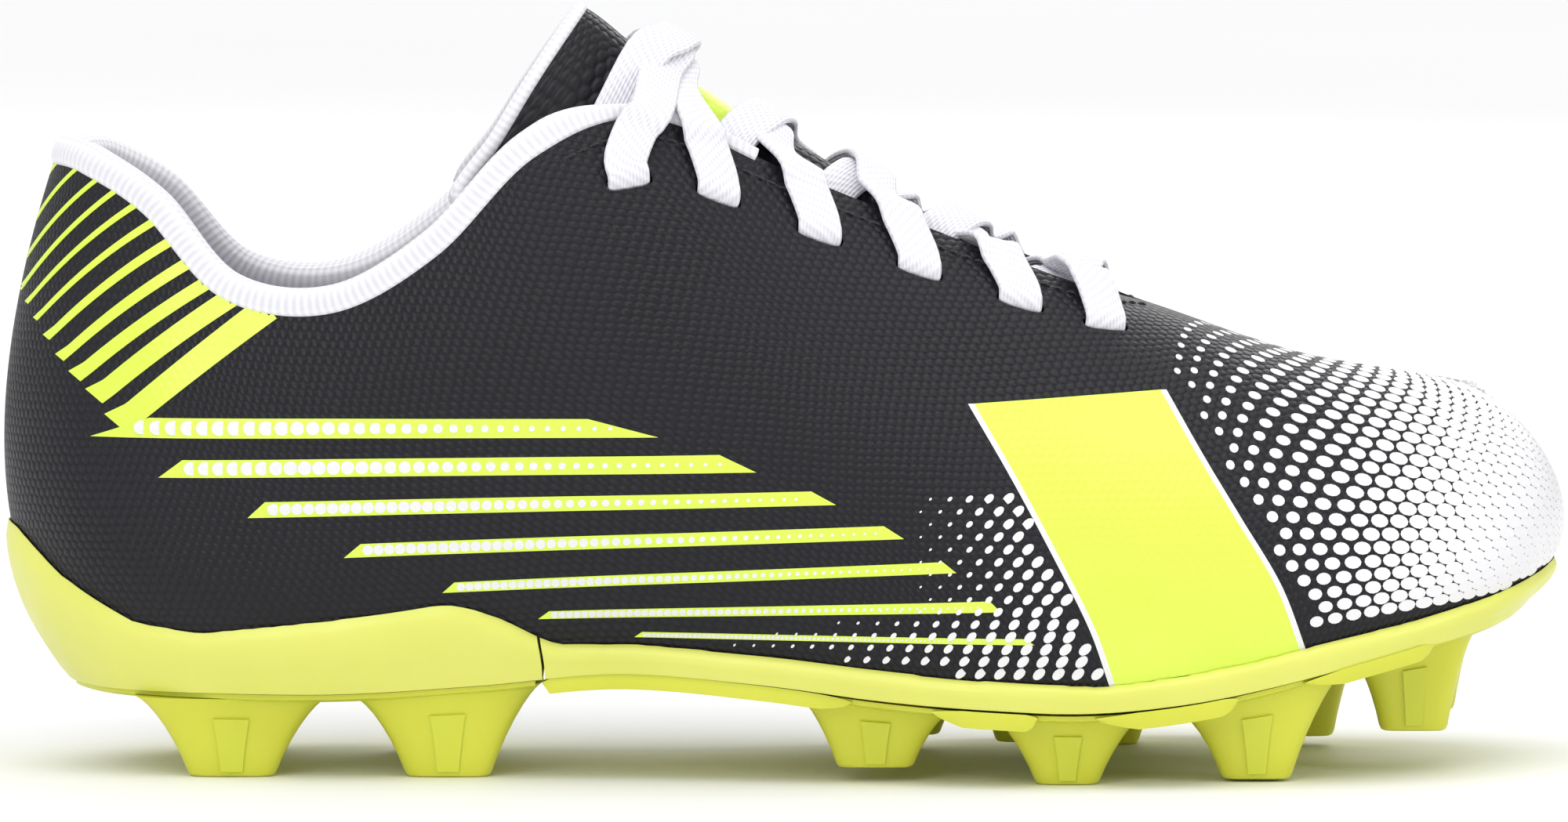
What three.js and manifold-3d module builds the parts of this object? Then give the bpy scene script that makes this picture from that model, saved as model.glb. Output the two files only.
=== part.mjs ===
// A junior firm-ground soccer cleat (right shoe), built from its separate pieces.
// Millimetres, +X towards the toe, +Y towards the inner (medial) side, +Z up from the ground.
import * as THREE from "three";
import { mergeVertices } from "three/addons/utils/BufferGeometryUtils.js";
import Module from "manifold-3d";

const wasm = await Module();
wasm.setup();

// ---------- driving dimensions ----------
const shoeLength = 236; // heel to toe over the sole
const shoeWidth = 86; // across the ball, over the sole
const shoeHeight = 115; // ground to the top of the tongue
const upperThickness = 1.1;
const stiffenerThickness = 0.7; // heel counter, toe puff and eyestay backing
const liningThickness = 0.7;
const layerGap = 0.3; // between bonded layers
const collarPad = 3.6; // extra foam at the fullest part of the collar
const flangeWidth = 9; // lasting margin folded under the board
const cupThickness = 2;
const cupGap = 0.4;
const plateThickness = 1.6;
const studBaseThickness = 1.2;
const boardThickness = 1.2;
const sockLinerThickness = 3;
const laceWidth = 6.6;
const laceThickness = 1;
const laceClearance = 0.4;
const eyeletsPerSide = 6;
const bindingHeight = 4;
const bindingGap = 0.5; // over the raw edges that it wraps
const tongueFaceThickness = 0.8;
const tongueFoam = 2.8;
const tongueBindingWidth = 2.4;
const labelThickness = 0.3;
const agletLength = 12;
const agletWall = 0.4;
const agletWidth = 3.6;
const marginDrop = 0.4; // underside of the folded margin, below the feather line
const liningSeam = 5.9; // rib position where the collar lining meets the vamp lining
const bindingEnd = 6; // rib position where the rolled binding of the collar stops
const tailStep = 0.42; // the tucked lace ends lie this many ribs behind the first eyelets
const studInset = 3;
const slotSlack = 1.2; // slot length over lace width
const topPull = 0.5; // ribs that the topmost crossings are drawn towards the toe, as by a knot
const lowestEase = 3.9; // how far the lowest crossing stands off the narrow end of the throat
const edgeEase = 1; // the same at the other crossings
const topEase = 0.4; // and at the topmost ones, which lie over the rest
const bindingOverhang = 0.8; // of the collar binding past both faces of the edge, together

// Ribs of the last, from the middle of the heel (0) round one side to the middle of the toe.
// foot: where the wall meets the sole, edge: topline, throat edge or vamp ridge.
// out: half widths for the outer and inner side, mid: where the middle of that rib lies.
// bulge and lean: how far the wall stands out, and how high, at its foot and at its edge.
const drawnLength = 236;
const drawnWidth = 81;
const drawnHeight = 115;
const ribs = [
  { foot: [-108, 15.5], out: [0, 0], edge: [-111.6, 91.6],
    half: 0, mid: 0, bulge: [14.4, 15], lean: [9.6, 31] },
  { foot: [-102, 15.2], out: [15.5, 15], edge: [-107, 91],
    half: 12, mid: 0, bulge: [12, 15], lean: [8.5, 30] },
  { foot: [-88, 15], out: [24, 23], edge: [-97, 85.2],
    half: 20.5, mid: 0, bulge: [9.5, 16], lean: [7, 26] },
  { foot: [-68, 15], out: [26.5, 24.5], edge: [-85, 72.9],
    half: 26, mid: 0, bulge: [9, 16], lean: [5, 20] },
  { foot: [-47, 16.3], out: [26.5, 22.5], edge: [-69, 71],
    half: 28.5, mid: 0, bulge: [9, 16], lean: [4.5, 18] },
  { foot: [-26, 18.2], out: [28, 21.5], edge: [-53.5, 79.6],
    half: 29.5, mid: 0, bulge: [9, 16], lean: [5.5, 20] },
  { foot: [-5, 16.8], out: [31.5, 24], edge: [-38.8, 94.4],
    half: 27, mid: 0, bulge: [8.5, 18], lean: [9, 21] },
  { foot: [13, 14.6], out: [35, 29.5], edge: [-22, 99.8],
    half: 19.5, mid: 0, bulge: [7.5, 20], lean: [13, 17] },
  { foot: [29, 13.4], out: [37.8, 34], edge: [0, 90.4],
    half: 14.5, mid: 0.3, bulge: [7, 19], lean: [15, 13] },
  { foot: [44, 13], out: [38.5, 37], edge: [22, 81.4],
    half: 12.5, mid: 0.6, bulge: [7, 18], lean: [16, 11] },
  { foot: [58, 14.2], out: [37, 37.5], edge: [43, 73.4],
    half: 10.5, mid: 1, bulge: [7, 17], lean: [17, 8] },
  { foot: [71, 16.6], out: [34, 36.5], edge: [53.5, 69.8],
    half: 0, mid: 1.4, bulge: [7, 15], lean: [27, 0.5] },
  { foot: [85, 20], out: [29.5, 34.5], edge: [74, 62.7],
    half: 0, mid: 2.6, bulge: [7, 13], lean: [23, 1] },
  { foot: [98, 23.2], out: [22, 31], edge: [89.5, 59.6],
    half: 0, mid: 4.2, bulge: [8, 9], lean: [19, 2.5] },
  { foot: [106.5, 25.6], out: [12, 23.5], edge: [98, 58.2],
    half: 0, mid: 5.4, bulge: [9.5, 6.5], lean: [17.5, 5.5] },
  { foot: [110, 27], out: [-6.2, 6.2], edge: [103, 56.8],
    half: 0, mid: 6.2, bulge: [11.2, 4], lean: [14, 8.4] },
];
const throatEnd = 11; // from this rib to the toe the two sides meet along the ridge
const toeRib = ribs.length - 1;
// Top edge of the sole wall: heights above the ground along the shoe.
const soleWallTop = [
  [-118, 37.6], [-110, 30], [-99, 23.6], [-89, 22.2], [-69, 24.4], [-51, 27], [-44, 25],
  [-36, 20.8], [-23, 20.9], [0, 19], [23, 16.4], [46, 15.3], [58, 16.8], [70, 19],
  [81, 21.7], [93, 24.1], [105, 27.2], [113, 29.8], [119, 32.6],
];
const cupFront = 4.45; // rib position where the heel cup stops and the plate's own wall starts
const heelFrameFront = 4.35;
const studFrameBack = 6.2; // rib position where the forefoot stud frame starts

// Studs: place, length and width of the foot of each, and how high its tip stays off the ground.
const studs = {
  heel: [
    { at: [-84.3, -18], root: [25, 14], tip: [14.4, 8.4], lift: 0 },
    { at: [-51.8, -18.5], root: [25, 15], tip: [14, 8.2], lift: 0 },
    { at: [-84.3, 17], root: [25, 14], tip: [14.4, 8.4], lift: 0 },
    { at: [-52.5, 15.5], root: [25, 14], tip: [14, 8.2], lift: 0 },
  ],
  forefoot: [
    { at: [12.3, -26], root: [22, 14], tip: [11.6, 7.6], lift: 2.2 },
    { at: [41, -29.5], root: [19, 14], tip: [9.6, 8], lift: 0 },
    { at: [70, -25.5], root: [20, 14], tip: [11, 8], lift: 0.4 },
    { at: [93.5, -11.5], root: [17.5, 13], tip: [10.2, 7.4], lift: 6.2 },
    { at: [17, 21], root: [20, 13], tip: [11, 7.4], lift: 2.2 },
    { at: [48, 28.5], root: [19, 14], tip: [10, 8], lift: 0 },
    { at: [77.5, 25], root: [19, 13], tip: [10.6, 7.6], lift: 1.6 },
    { at: [96, 13], root: [16, 12], tip: [9.4, 7], lift: 6.8 },
    { at: [35, 3], root: [15, 14], tip: [8.6, 7.6], lift: 3 },
  ],
};

// Tongue: its middle line from its stitched foot to its free end, and how it arches across.
const tongueLine = [
  [56, 64.6], [49, 67.2], [40, 71.8], [28, 79], [14, 86.6], [-2, 95], [-17, 103.8], [-31.2, 114.2],
];
const tongueHalf = [9, 10.5, 13, 15.6, 17.4, 18.4, 19.2, 19.4]; // half width at each of those points
const tongueArch = 0.0789; // fall below the middle line, per mm of drawn half width squared
const tongueShift = 1.4; // its foot follows the vamp a little towards the inner side

// ---------- small helpers ----------
const scale = new THREE.Vector3(
  shoeLength / drawnLength,
  shoeWidth / drawnWidth,
  shoeHeight / drawnHeight,
);
const stepsPerRib = 2;
const ringSize = 2 * toeRib * stepsPerRib;
const rows = 8;
const up = new THREE.Vector3(0, 0, 1);

// Uniform Catmull-Rom value between b and c.
function spline(a, b, c, d, f) {
  return b + 0.5 * f * (c - a + f * (2 * a - 5 * b + 4 * c - d + f * (3 * (b - c) + d - a)));
}

// Value at a place along a list, clamped at its ends.
function along(list, place) {
  const last = list.length - 1;
  const at = Math.min(Math.max(place, 0), last);
  const k = Math.min(Math.floor(at), last - 1);
  const pick = (n) => list[Math.min(Math.max(n, 0), last)];
  return spline(pick(k - 1), pick(k), pick(k + 1), pick(k + 2), at - k);
}

// Height in a list of [x, z] pairs.
function heightAt(pairs, x) {
  let k = 0;
  while (k < pairs.length - 2 && x > pairs[k + 1][0]) k += 1;
  const share = (x - pairs[k][0]) / (pairs[k + 1][0] - pairs[k][0]);
  const clamped = Math.min(Math.max(share, 0), 1);
  return pairs[k][1] + (pairs[k + 1][1] - pairs[k][1]) * clamped;
}

function smooth(low, high, value) {
  const f = Math.min(Math.max((value - low) / (high - low), 0), 1);
  return f * f * (3 - 2 * f);
}

// ---------- the last: one smooth surface that every layer of the shoe follows ----------
// A rib's numbers on one side: side -1 is the outer (lateral) side, +1 the inner one.
function ribNumbers(k, side) {
  const r = ribs[k];
  const wide = side < 0 ? r.out[0] : r.out[1];
  const footY = k === toeRib ? r.mid : side * wide;
  const edgeY = r.mid + side * r.half;
  const raw = [r.foot[0], footY, r.foot[1], r.edge[0], edgeY, r.edge[1], ...r.bulge, ...r.lean];
  const { x, y, z } = scale;
  const by = [x, y, z, x, y, z, y, z, y, z];
  return raw.map((value, n) => value * by[n]);
}

const ringRibs = [];
for (let k = 0; k <= toeRib; k += 1) ringRibs.push(ribNumbers(k, -1));
for (let k = toeRib - 1; k > 0; k -= 1) ringRibs.push(ribNumbers(k, 1));

// place: 0 at the heel, toeRib at the toe, on round the inner side and back to the heel.
function ribAt(place) {
  const count = ringRibs.length;
  const at = ((place % count) + count) % count;
  const k = Math.floor(at);
  const row = (n) => ringRibs[(k + n + count) % count];
  return row(0).map((_, n) => spline(row(-1)[n], row(0)[n], row(1)[n], row(2)[n], at - k));
}

function ribNumber(place) {
  const count = ringRibs.length;
  const at = ((place % count) + count) % count;
  return at <= toeRib ? at : count - at;
}

function isClosed(place) {
  return ribNumber(place) >= throatEnd - 1e-6;
}

function wallPoint(place, t) {
  const r = ribAt(place);
  const out = outward(place);
  const foot = new THREE.Vector3(r[0], r[1], r[2]);
  const mid = ribAt(ribNumber(place));
  const edgeY = isClosed(place) ? (mid[4] + ribAt(-ribNumber(place))[4]) / 2 : r[4];
  const edge = new THREE.Vector3(r[3], edgeY, r[5]);
  const low = foot.clone().addScaledVector(out, r[6]).addScaledVector(up, r[7]);
  const high = edge.clone().addScaledVector(out, r[8]).addScaledVector(up, -r[9]);
  return new THREE.CubicBezierCurve3(foot, low, high, edge).getPoint(t);
}

function wallNormal(place, t) {
  const row = Math.min(t, 0.98); // the two sides fold together at the very edge of the toe
  const a = wallPoint(place - 0.04, row);
  const b = wallPoint(place + 0.04, row);
  const c = wallPoint(place, Math.max(t - 0.02, 0));
  const d = wallPoint(place, Math.min(t + 0.02, 1));
  return b.sub(a).cross(d.sub(c)).normalize();
}

// A point on the last, depth mm inside its surface (negative is outside).
function lastPoint(place, t, depth) {
  const closedEdge = isClosed(place) && t > 1 - 1e-9;
  const at = closedEdge ? ribNumber(place) : place;
  const normal = wallNormal(at, t);
  if (closedEdge) normal.add(wallNormal(-at, t)).normalize();
  return wallPoint(at, t).addScaledVector(normal, -depth);
}

// The level direction straight out of the shoe at a place.
function outward(place) {
  const a = ribAt(place - 0.05);
  const b = ribAt(place + 0.05);
  return new THREE.Vector3(b[1] - a[1], a[0] - b[0], 0).normalize();
}

// Height of the feather line at a distance along the shoe.
function footHeight(x) {
  let low = 0;
  let high = toeRib;
  for (let n = 0; n < 24; n += 1) {
    const place = (low + high) / 2;
    if (ribAt(place)[0] < x) low = place;
    else high = place;
  }
  return ribAt(low)[2];
}

// A point beside the foot of the wall: out mm outwards and lift mm above the feather line.
function footPoint(place, out, lift) {
  const r = ribAt(place);
  const p = new THREE.Vector3(r[0], r[1], 0).addScaledVector(outward(place), out);
  return p.setZ(footHeight(p.x) + lift);
}

// The share of a rib's wall that lies below the top of the sole wall.
function soleWallShare(place) {
  let low = 0;
  let high = 0.6;
  for (let n = 0; n < 24; n += 1) {
    const t = (low + high) / 2;
    const p = wallPoint(place, t);
    const top = heightAt(soleWallTop, p.x / scale.x) * scale.z;
    if (p.z < top) low = t;
    else high = t;
  }
  return low;
}

// ---------- solids from grids ----------
class Faces {
  constructor() {
    this.points = [];
    this.triangles = [];
  }

  add(p) {
    this.points.push(...p.toArray().map((value) => Math.round(value * 1e4) / 1e4));
    return this.points.length / 3 - 1;
  }

  quad(a, b, c, d) {
    this.triangles.push(a, b, c, a, c, d);
  }

  geometry() {
    const raw = new THREE.BufferGeometry();
    raw.setAttribute("position", new THREE.Float32BufferAttribute(this.points, 3));
    raw.setIndex(this.triangles);
    const merged = mergeVertices(raw, 1e-3);
    const kept = [];
    const index = merged.index.array;
    for (let n = 0; n < index.length; n += 3) {
      const [a, b, c] = [index[n], index[n + 1], index[n + 2]];
      if (a !== b && b !== c && a !== c) kept.push(a, b, c);
    }
    merged.setIndex(kept);
    return merged;
  }
}

// A thick sheet: outer and inner are grids [along][up] of points.
// wraps: the last column joins the first. topRim(n): false leaves out the rim above column n.
function sheetSolid(outer, inner, { wraps = false, topRim = () => true, bottomRim = true } = {}) {
  const faces = new Faces();
  const a = outer.map((column) => column.map((p) => faces.add(p)));
  const b = inner.map((column) => column.map((p) => faces.add(p)));
  const columns = outer.length;
  const top = outer[0].length - 1;
  const last = wraps ? columns : columns - 1;
  for (let n = 0; n < last; n += 1) {
    const m = (n + 1) % columns;
    for (let k = 0; k < top; k += 1) {
      faces.quad(a[n][k], a[m][k], a[m][k + 1], a[n][k + 1]);
      faces.quad(b[n][k], b[n][k + 1], b[m][k + 1], b[m][k]);
    }
    if (bottomRim) faces.quad(a[n][0], b[n][0], b[m][0], a[m][0]);
    if (topRim(n)) faces.quad(a[n][top], a[m][top], b[m][top], b[n][top]);
  }
  if (!wraps) {
    for (let k = 0; k < top; k += 1) {
      faces.quad(a[0][k], a[0][k + 1], b[0][k + 1], b[0][k]);
      faces.quad(a[last][k], b[last][k], b[last][k + 1], a[last][k + 1]);
    }
  }
  return faces.geometry();
}

// A solid of stacked outlines, lowest first, with flat ladders across the first and the last.
// Each outline runs from its back end round to its front, and pairs up across the middle.
function stackSolid(outlines) {
  const faces = new Faces();
  const ids = outlines.map((outline) => outline.map((p) => faces.add(p)));
  const count = outlines[0].length;
  for (let n = 0; n + 1 < ids.length; n += 1) {
    for (let k = 0; k < count; k += 1) {
      const m = (k + 1) % count;
      faces.quad(ids[n][k], ids[n][m], ids[n + 1][m], ids[n + 1][k]);
    }
  }
  const ladder = (ring, turned) => {
    for (let k = 0; 2 * k < count - 1; k += 1) {
      const [p, q, r, s] = [ring[k], ring[k + 1], ring[count - 2 - k], ring[count - 1 - k]];
      if (turned) faces.quad(s, r, q, p);
      else faces.quad(p, q, r, s);
    }
  };
  ladder(ids[0], true);
  ladder(ids[ids.length - 1], false);
  return faces.geometry();
}

// A flat or oval bar along points, wide across the width directions.
function barSolid(points, widths, wide, thick, sides = 4) {
  const faces = new Faces();
  const rings = points.map((p, n) => {
    const before = points[Math.max(n - 1, 0)];
    const after = points[Math.min(n + 1, points.length - 1)];
    const forward = after.clone().sub(before).normalize();
    const across = widths[n].clone().addScaledVector(forward, -widths[n].dot(forward)).normalize();
    const normal = forward.clone().cross(across);
    const ring = [];
    for (let k = 0; k < sides; k += 1) {
      const angle = (2 * Math.PI * (k + 0.5)) / sides;
      const grow = 1 / Math.cos(Math.PI / sides);
      const w = Math.cos(angle) * grow * (typeof wide === "function" ? wide(n) : wide) * 0.5;
      const h = Math.sin(angle) * grow * (typeof thick === "function" ? thick(n) : thick) * 0.5;
      ring.push(faces.add(p.clone().addScaledVector(across, w).addScaledVector(normal, h)));
    }
    return ring;
  });
  for (let n = 0; n + 1 < rings.length; n += 1) {
    for (let k = 0; k < sides; k += 1) {
      const m = (k + 1) % sides;
      faces.quad(rings[n][k], rings[n][m], rings[n + 1][m], rings[n + 1][k]);
    }
  }
  const first = rings[0];
  const end = rings[rings.length - 1];
  for (let k = 1; k + 1 < sides; k += 1) {
    faces.triangles.push(first[0], first[k + 1], first[k]);
    faces.triangles.push(end[0], end[k], end[k + 1]);
  }
  return faces.geometry();
}

// ---------- cutting and joining ----------
function solidOf(geometry) {
  const bare = geometry.index ? geometry.toNonIndexed() : geometry.clone();
  bare.deleteAttribute("normal");
  bare.deleteAttribute("uv");
  const merged = mergeVertices(bare, 1e-3);
  return new wasm.Manifold(
    new wasm.Mesh({
      numProp: 3,
      vertProperties: merged.attributes.position.array,
      triVerts: new Uint32Array(merged.index.array),
    }),
  );
}

function geometryOf(solid) {
  const mesh = solid.getMesh();
  const geometry = new THREE.BufferGeometry();
  geometry.setAttribute("position", new THREE.BufferAttribute(mesh.vertProperties, 3));
  geometry.setIndex(new THREE.BufferAttribute(mesh.triVerts, 1));
  return geometry;
}

const join = (parts) => geometryOf(parts.map(solidOf).reduce((a, b) => a.add(b)));
const cut = (part, tools) => geometryOf(tools.map(solidOf).reduce((a, b) => a.subtract(b), solidOf(part)));

// ---------- layers of the upper ----------
const linedDepth = upperThickness + stiffenerThickness + 2 * layerGap; // outer face of the lining
const insideDepth = linedDepth + liningThickness; // inner face of the lining
const boardInset = insideDepth + layerGap;
const marginTop = upperThickness - marginDrop; // height of the folded margin over the feather line
const innerLift = upperThickness + layerGap; // inner layers stand on the folded margin

// Extra depth of the lining where the collar foam lies behind it.
function padAt(place, t) {
  const lengthwise = 1 - smooth(4.4, 6.2, ribNumber(place));
  return collarPad * lengthwise * smooth(0.45, 0.72, t) * (1 - 0.75 * smooth(0.86, 1, t));
}

// Evenly spaced values, and values that stop at every multiple of the step between two ends.
function even(from, to, count) {
  return Array.from({ length: count + 1 }, (_, n) => from + ((to - from) * n) / count);
}

function stops(from, to, step) {
  const inner = [];
  for (let n = Math.floor(from / step + 1e-6) + 1; n * step < to - 1e-6; n += 1) inner.push(n * step);
  return [from, ...inner, to];
}

const ribStops = (from, to) => stops(from, to, 1 / stepsPerRib);
const rowStops = (from, to) => stops(from, to, 1 / rows);

// A point of a layer: on the last at the common columns and rows, on their facets between them.
function layerPoint(place, t, depth) {
  const column = Math.floor(place * stepsPerRib + 1e-6) / stepsPerRib;
  const row = Math.min(Math.floor(t * rows + 1e-6) / rows, 1 - 1 / rows);
  const f = (place - column) * stepsPerRib;
  const g = (t - row) * rows;
  const node = (a, b) => {
    const [atColumn, atRow] = [column + a / stepsPerRib, row + b / rows];
    return lastPoint(atColumn, atRow, depth(atColumn, atRow));
  };
  if (f < 1e-6 && (g < 1e-6 || g > 1 - 1e-6)) return node(0, Math.round(g));
  return node(0, 0).lerp(node(1, 0), f).lerp(node(0, 1).lerp(node(1, 1), f), g);
}

// A layer of the last between two depths, with its columns at places and its rows at shares.
function layerGeometry(places, shares, outside, inside, wraps = false) {
  const grid = (depth) =>
    places.map((place) =>
      shares.map((t) => {
        const p = layerPoint(place, t, depth);
        if (t === 0) p.z += innerLift;
        return p;
      }),
    );
  const next = (n) => places[(n + 1) % places.length];
  const reachesEdge = shares[shares.length - 1] === 1;
  const topRim = (n) => !(reachesEdge && isClosed(places[n]) && isClosed(next(n)));
  return sheetSolid(grid(outside), grid(inside), { wraps, topRim });
}

function upperGeometry() {
  const places = Array.from({ length: ringSize }, (_, n) => n / stepsPerRib);
  const shares = rowStops(0, 1);
  const outer = places.map((place) => [
    footPoint(place, -flangeWidth, -marginDrop),
    ...shares.map((t) => lastPoint(place, t, 0)),
  ]);
  const inner = places.map((place) => [
    footPoint(place, -flangeWidth, marginTop),
    ...shares.map((t) => {
      const p = lastPoint(place, t, upperThickness);
      if (t === 0) p.z += marginTop;
      return p;
    }),
  ]);
  const topRim = (n) => !(isClosed(places[n]) && isClosed(places[n] + 1 / stepsPerRib));
  return cut(sheetSolid(outer, inner, { wraps: true, topRim }), slotCutters());
}

const liningOut = (place, t) => linedDepth + padAt(place, t);
const liningIn = (place, t) => liningOut(place, t) + liningThickness;
const backingOut = () => upperThickness + layerGap;
const backingIn = () => upperThickness + layerGap + stiffenerThickness;

function collarLiningGeometry() {
  return layerGeometry(ribStops(-liningSeam, liningSeam), rowStops(0, 1), liningOut, liningIn);
}

function vampLiningGeometry() {
  const places = ribStops(liningSeam + 0.025, 2 * toeRib - liningSeam - 0.025);
  return cut(layerGeometry(places, rowStops(0, 1), liningOut, liningIn), slotCutters());
}

function heelCounterGeometry() {
  return layerGeometry(ribStops(-3.5, 3.5), rowStops(0, 0.5), backingOut, backingIn);
}

function collarFoamGeometry() {
  const inside = (place, t) => linedDepth + padAt(place, t) - layerGap;
  return layerGeometry(ribStops(-4.5, 4.5), rowStops(0.53, 0.97), backingOut, inside);
}

function toePuffGeometry() {
  const places = ribStops(toeRib - 2.5, toeRib + 2.5);
  return layerGeometry(places, rowStops(0, 0.75), backingOut, backingIn);
}

function eyestayGeometry(side) {
  const ends = [sidePlace(side, 6), sidePlace(side, 10.5)];
  const places = ribStops(Math.min(...ends), Math.max(...ends));
  return cut(layerGeometry(places, rowStops(0.75, 0.985), backingOut, backingIn), slotCutters());
}

function collarBindingGeometry() {
  const places = ribStops(-bindingEnd, bindingEnd);
  const edges = places.map((place) => layerPoint(place, 1, () => liningIn(place, 1) / 2));
  const widths = places.map((place) => wallNormal(place, 1));
  const points = edges.map((edge, n) => {
    const before = edges[Math.max(n - 1, 0)];
    const after = edges[Math.min(n + 1, edges.length - 1)];
    const rise = widths[n].clone().cross(after.clone().sub(before)).normalize();
    return edge.clone().addScaledVector(rise, bindingGap + bindingHeight / 2);
  });
  const wide = (n) => liningIn(places[n], 1) + bindingOverhang;
  return barSolid(points, widths, wide, bindingHeight, 8);
}

// ---------- lace and its slots ----------
const slotShare = 0.85;
const slotAt = (k) => 6.8 + 0.665 * k; // rib position of eyelet k, 0 at the ankle
const sidePlace = (side, at) => (side < 0 ? at : 2 * toeRib - at);

// Direction of the throat at a rib position, towards the toe.
function throatDirection(side, at) {
  const a = wallPoint(sidePlace(side, at - 0.3), slotShare);
  const b = wallPoint(sidePlace(side, at + 0.3), slotShare);
  return b.sub(a).normalize();
}

function slotCutters() {
  const cutters = [];
  for (const side of [-1, 1]) {
    for (let k = 0; k < eyeletsPerSide; k += 1) {
      const place = sidePlace(side, slotAt(k));
      const normal = wallNormal(place, slotShare);
      const forward = throatDirection(side, slotAt(k));
      forward.addScaledVector(normal, -forward.dot(normal)).normalize();
      const across = normal.clone().cross(forward);
      const wide = laceWidth * slotSlack;
      const tall = 2 * (laceThickness + laceClearance) + 0.2;
      const box = new THREE.BoxGeometry(wide, tall, 2 * insideDepth + 4);
      const middle = lastPoint(place, slotShare, insideDepth / 2);
      box.applyMatrix4(new THREE.Matrix4().makeBasis(forward, across, normal).setPosition(middle));
      cutters.push(box);
    }
  }
  return cutters;
}

const laceBow = 0.0105 * laceWidth ** 2; // how far a flat lace stands off a rounded wall
const laceUnder = insideDepth + laceClearance + laceThickness / 2;
const laceOver = -(laceClearance + laceThickness / 2);
const laceLow = layerGap + labelThickness + laceClearance + laceThickness / 2;
const laceHigh = laceLow + laceThickness + laceClearance;

// Share of the tongue that lies under a rib position of the throat.
function tongueShareAt(at) {
  const x = wallPoint(at, 1).x;
  let low = 0;
  let high = 1;
  for (let n = 0; n < 20; n += 1) {
    const u = (low + high) / 2;
    if (tonguePoint(u, 0, 0).x > x) low = u;
    else high = u;
  }
  return low;
}

// A stop of the lace: where its middle runs, and the direction that it lies across.
const stop = (point, lie) => ({ point, lie });
const flatLie = new THREE.Vector3(
  (tongueLine[0][0] - tongueLine.at(-1)[0]) * scale.x,
  0,
  (tongueLine[0][1] - tongueLine.at(-1)[1]) * scale.z,
).normalize();

// Up through a slot from under the eyestay, out, and back over it towards the throat.
function slotTurn(side, k) {
  const place = sidePlace(side, slotAt(k));
  const lie = throatDirection(side, slotAt(k));
  const hole = slotShare - 0.003;
  const turn = slotShare + 0.012;
  const path = [
    [turn + 0.028, laceUnder + laceBow / 2],
    [turn, laceUnder - 0.1],
    [hole, laceUnder - 1.2],
    [hole, insideDepth / 2],
    [hole, laceOver + 1.2],
    [turn, laceOver + 0.25 - laceBow / 4],
    [turn + 0.028, laceOver - laceBow / 4],
  ];
  return path.map(([t, depth]) => stop(lastPoint(place, t, depth), lie));
}

// Over the throat from an eyelet on one side to a place under the eyestay of the other side.
// ease lifts it further off the edges, and pull draws its middle towards the toe.
function crossing(side, from, to, height, { ease, pull, dive }) {
  const at = (f) => from + (to - from) * f + 4 * pull * f * (1 - f);
  const onSide = (which, f, t, depth) =>
    stop(lastPoint(sidePlace(which, at(f)), t, depth), throatDirection(which, at(f)));
  const over = (f, v, h) => stop(tonguePoint(tongueShareAt(at(f)), v * side, -h), flatLie);
  return [
    onSide(side, 0.08, 0.95, laceOver - 0.25 - ease / 4),
    onSide(side, 0.18, 1, laceOver - 0.6 - ease / 3),
    over(0.34, 0.34, height + 0.5 + ease),
    over(0.43, 0.16, height + 0.1 + ease / 2),
    over(0.5, 0, height),
    over(0.57, -0.16, height),
    over(0.66, -0.34, height),
    onSide(-side, 0.82, 1, laceUnder + laceBow + dive + ease / 4),
    onSide(-side, 0.94, 0.945, laceUnder + laceBow / 2 + dive + ease / 4),
  ];
}

// One half of the lace, from the lowest eyelet of a side up to its end tucked inside.
function halfLace(firstSide, height) {
  const route = [];
  let side = firstSide;
  const pitch = laceThickness + laceClearance;
  for (let k = eyeletsPerSide - 1; k > 0; k -= 1) {
    const way = { ease: k === eyeletsPerSide - 1 ? lowestEase : edgeEase, pull: 0, dive: 0 };
    route.push(...slotTurn(side, k), ...crossing(side, slotAt(k), slotAt(k - 1), height, way));
    side = -side;
  }
  const end = slotAt(0) - tailStep;
  const way = { ease: topEase, pull: topPull, dive: pitch };
  route.push(...slotTurn(side, 0), ...crossing(side, slotAt(0), end, height + 2 * pitch, way));
  const tuck = laceUnder + laceBow;
  const tail = [[0.88, tuck], [0.81, tuck], [0.74, tuck + agletWall]];
  const lie = throatDirection(-side, end);
  route.push(...tail.map(([t, depth]) => stop(lastPoint(sidePlace(-side, end), t, depth), lie)));
  return route;
}

function laceRoute() {
  const outerHalf = halfLace(-1, laceHigh);
  const innerHalf = halfLace(1, laceLow);
  const u = tongueShareAt(slotAt(eyeletsPerSide - 1));
  const bar = [-0.45, 0, 0.45].map((v) => stop(tonguePoint(u, v, -laceLow), flatLie));
  return [...outerHalf.reverse(), ...bar, ...innerHalf];
}

function laceGeometry() {
  const route = laceRoute();
  const points = route.map(({ point }) => point);
  const lies = route.map(({ lie }) => lie);
  return barSolid(points, lies, laceWidth, laceThickness);
}

function agletGeometry(side) {
  const route = laceRoute();
  const end = side < 0 ? route.at(-1) : route[0];
  const before = side < 0 ? route.at(-2) : route[1];
  const way = end.point.clone().sub(before.point).normalize();
  const from = end.point.clone().addScaledVector(way, layerGap);
  const to = from.clone().addScaledVector(way, agletLength);
  return barSolid([from, to], [end.lie, end.lie], agletWidth, laceThickness + 2 * agletWall, 8);
}

// ---------- tongue ----------
const tongueLineX = tongueLine.map((p) => p[0] * scale.x);
const tongueLineZ = tongueLine.map((p) => p[1] * scale.z);
const tongueSteps = tongueLine.length - 1;
const tongueLength = tongueLine.reduce((sum, p, n) => {
  if (n === 0) return 0;
  return sum + Math.hypot(tongueLineX[n] - tongueLineX[n - 1], tongueLineZ[n] - tongueLineZ[n - 1]);
}, 0);
const tongueAcross = 8;
const tongueUp = 9;

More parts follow.
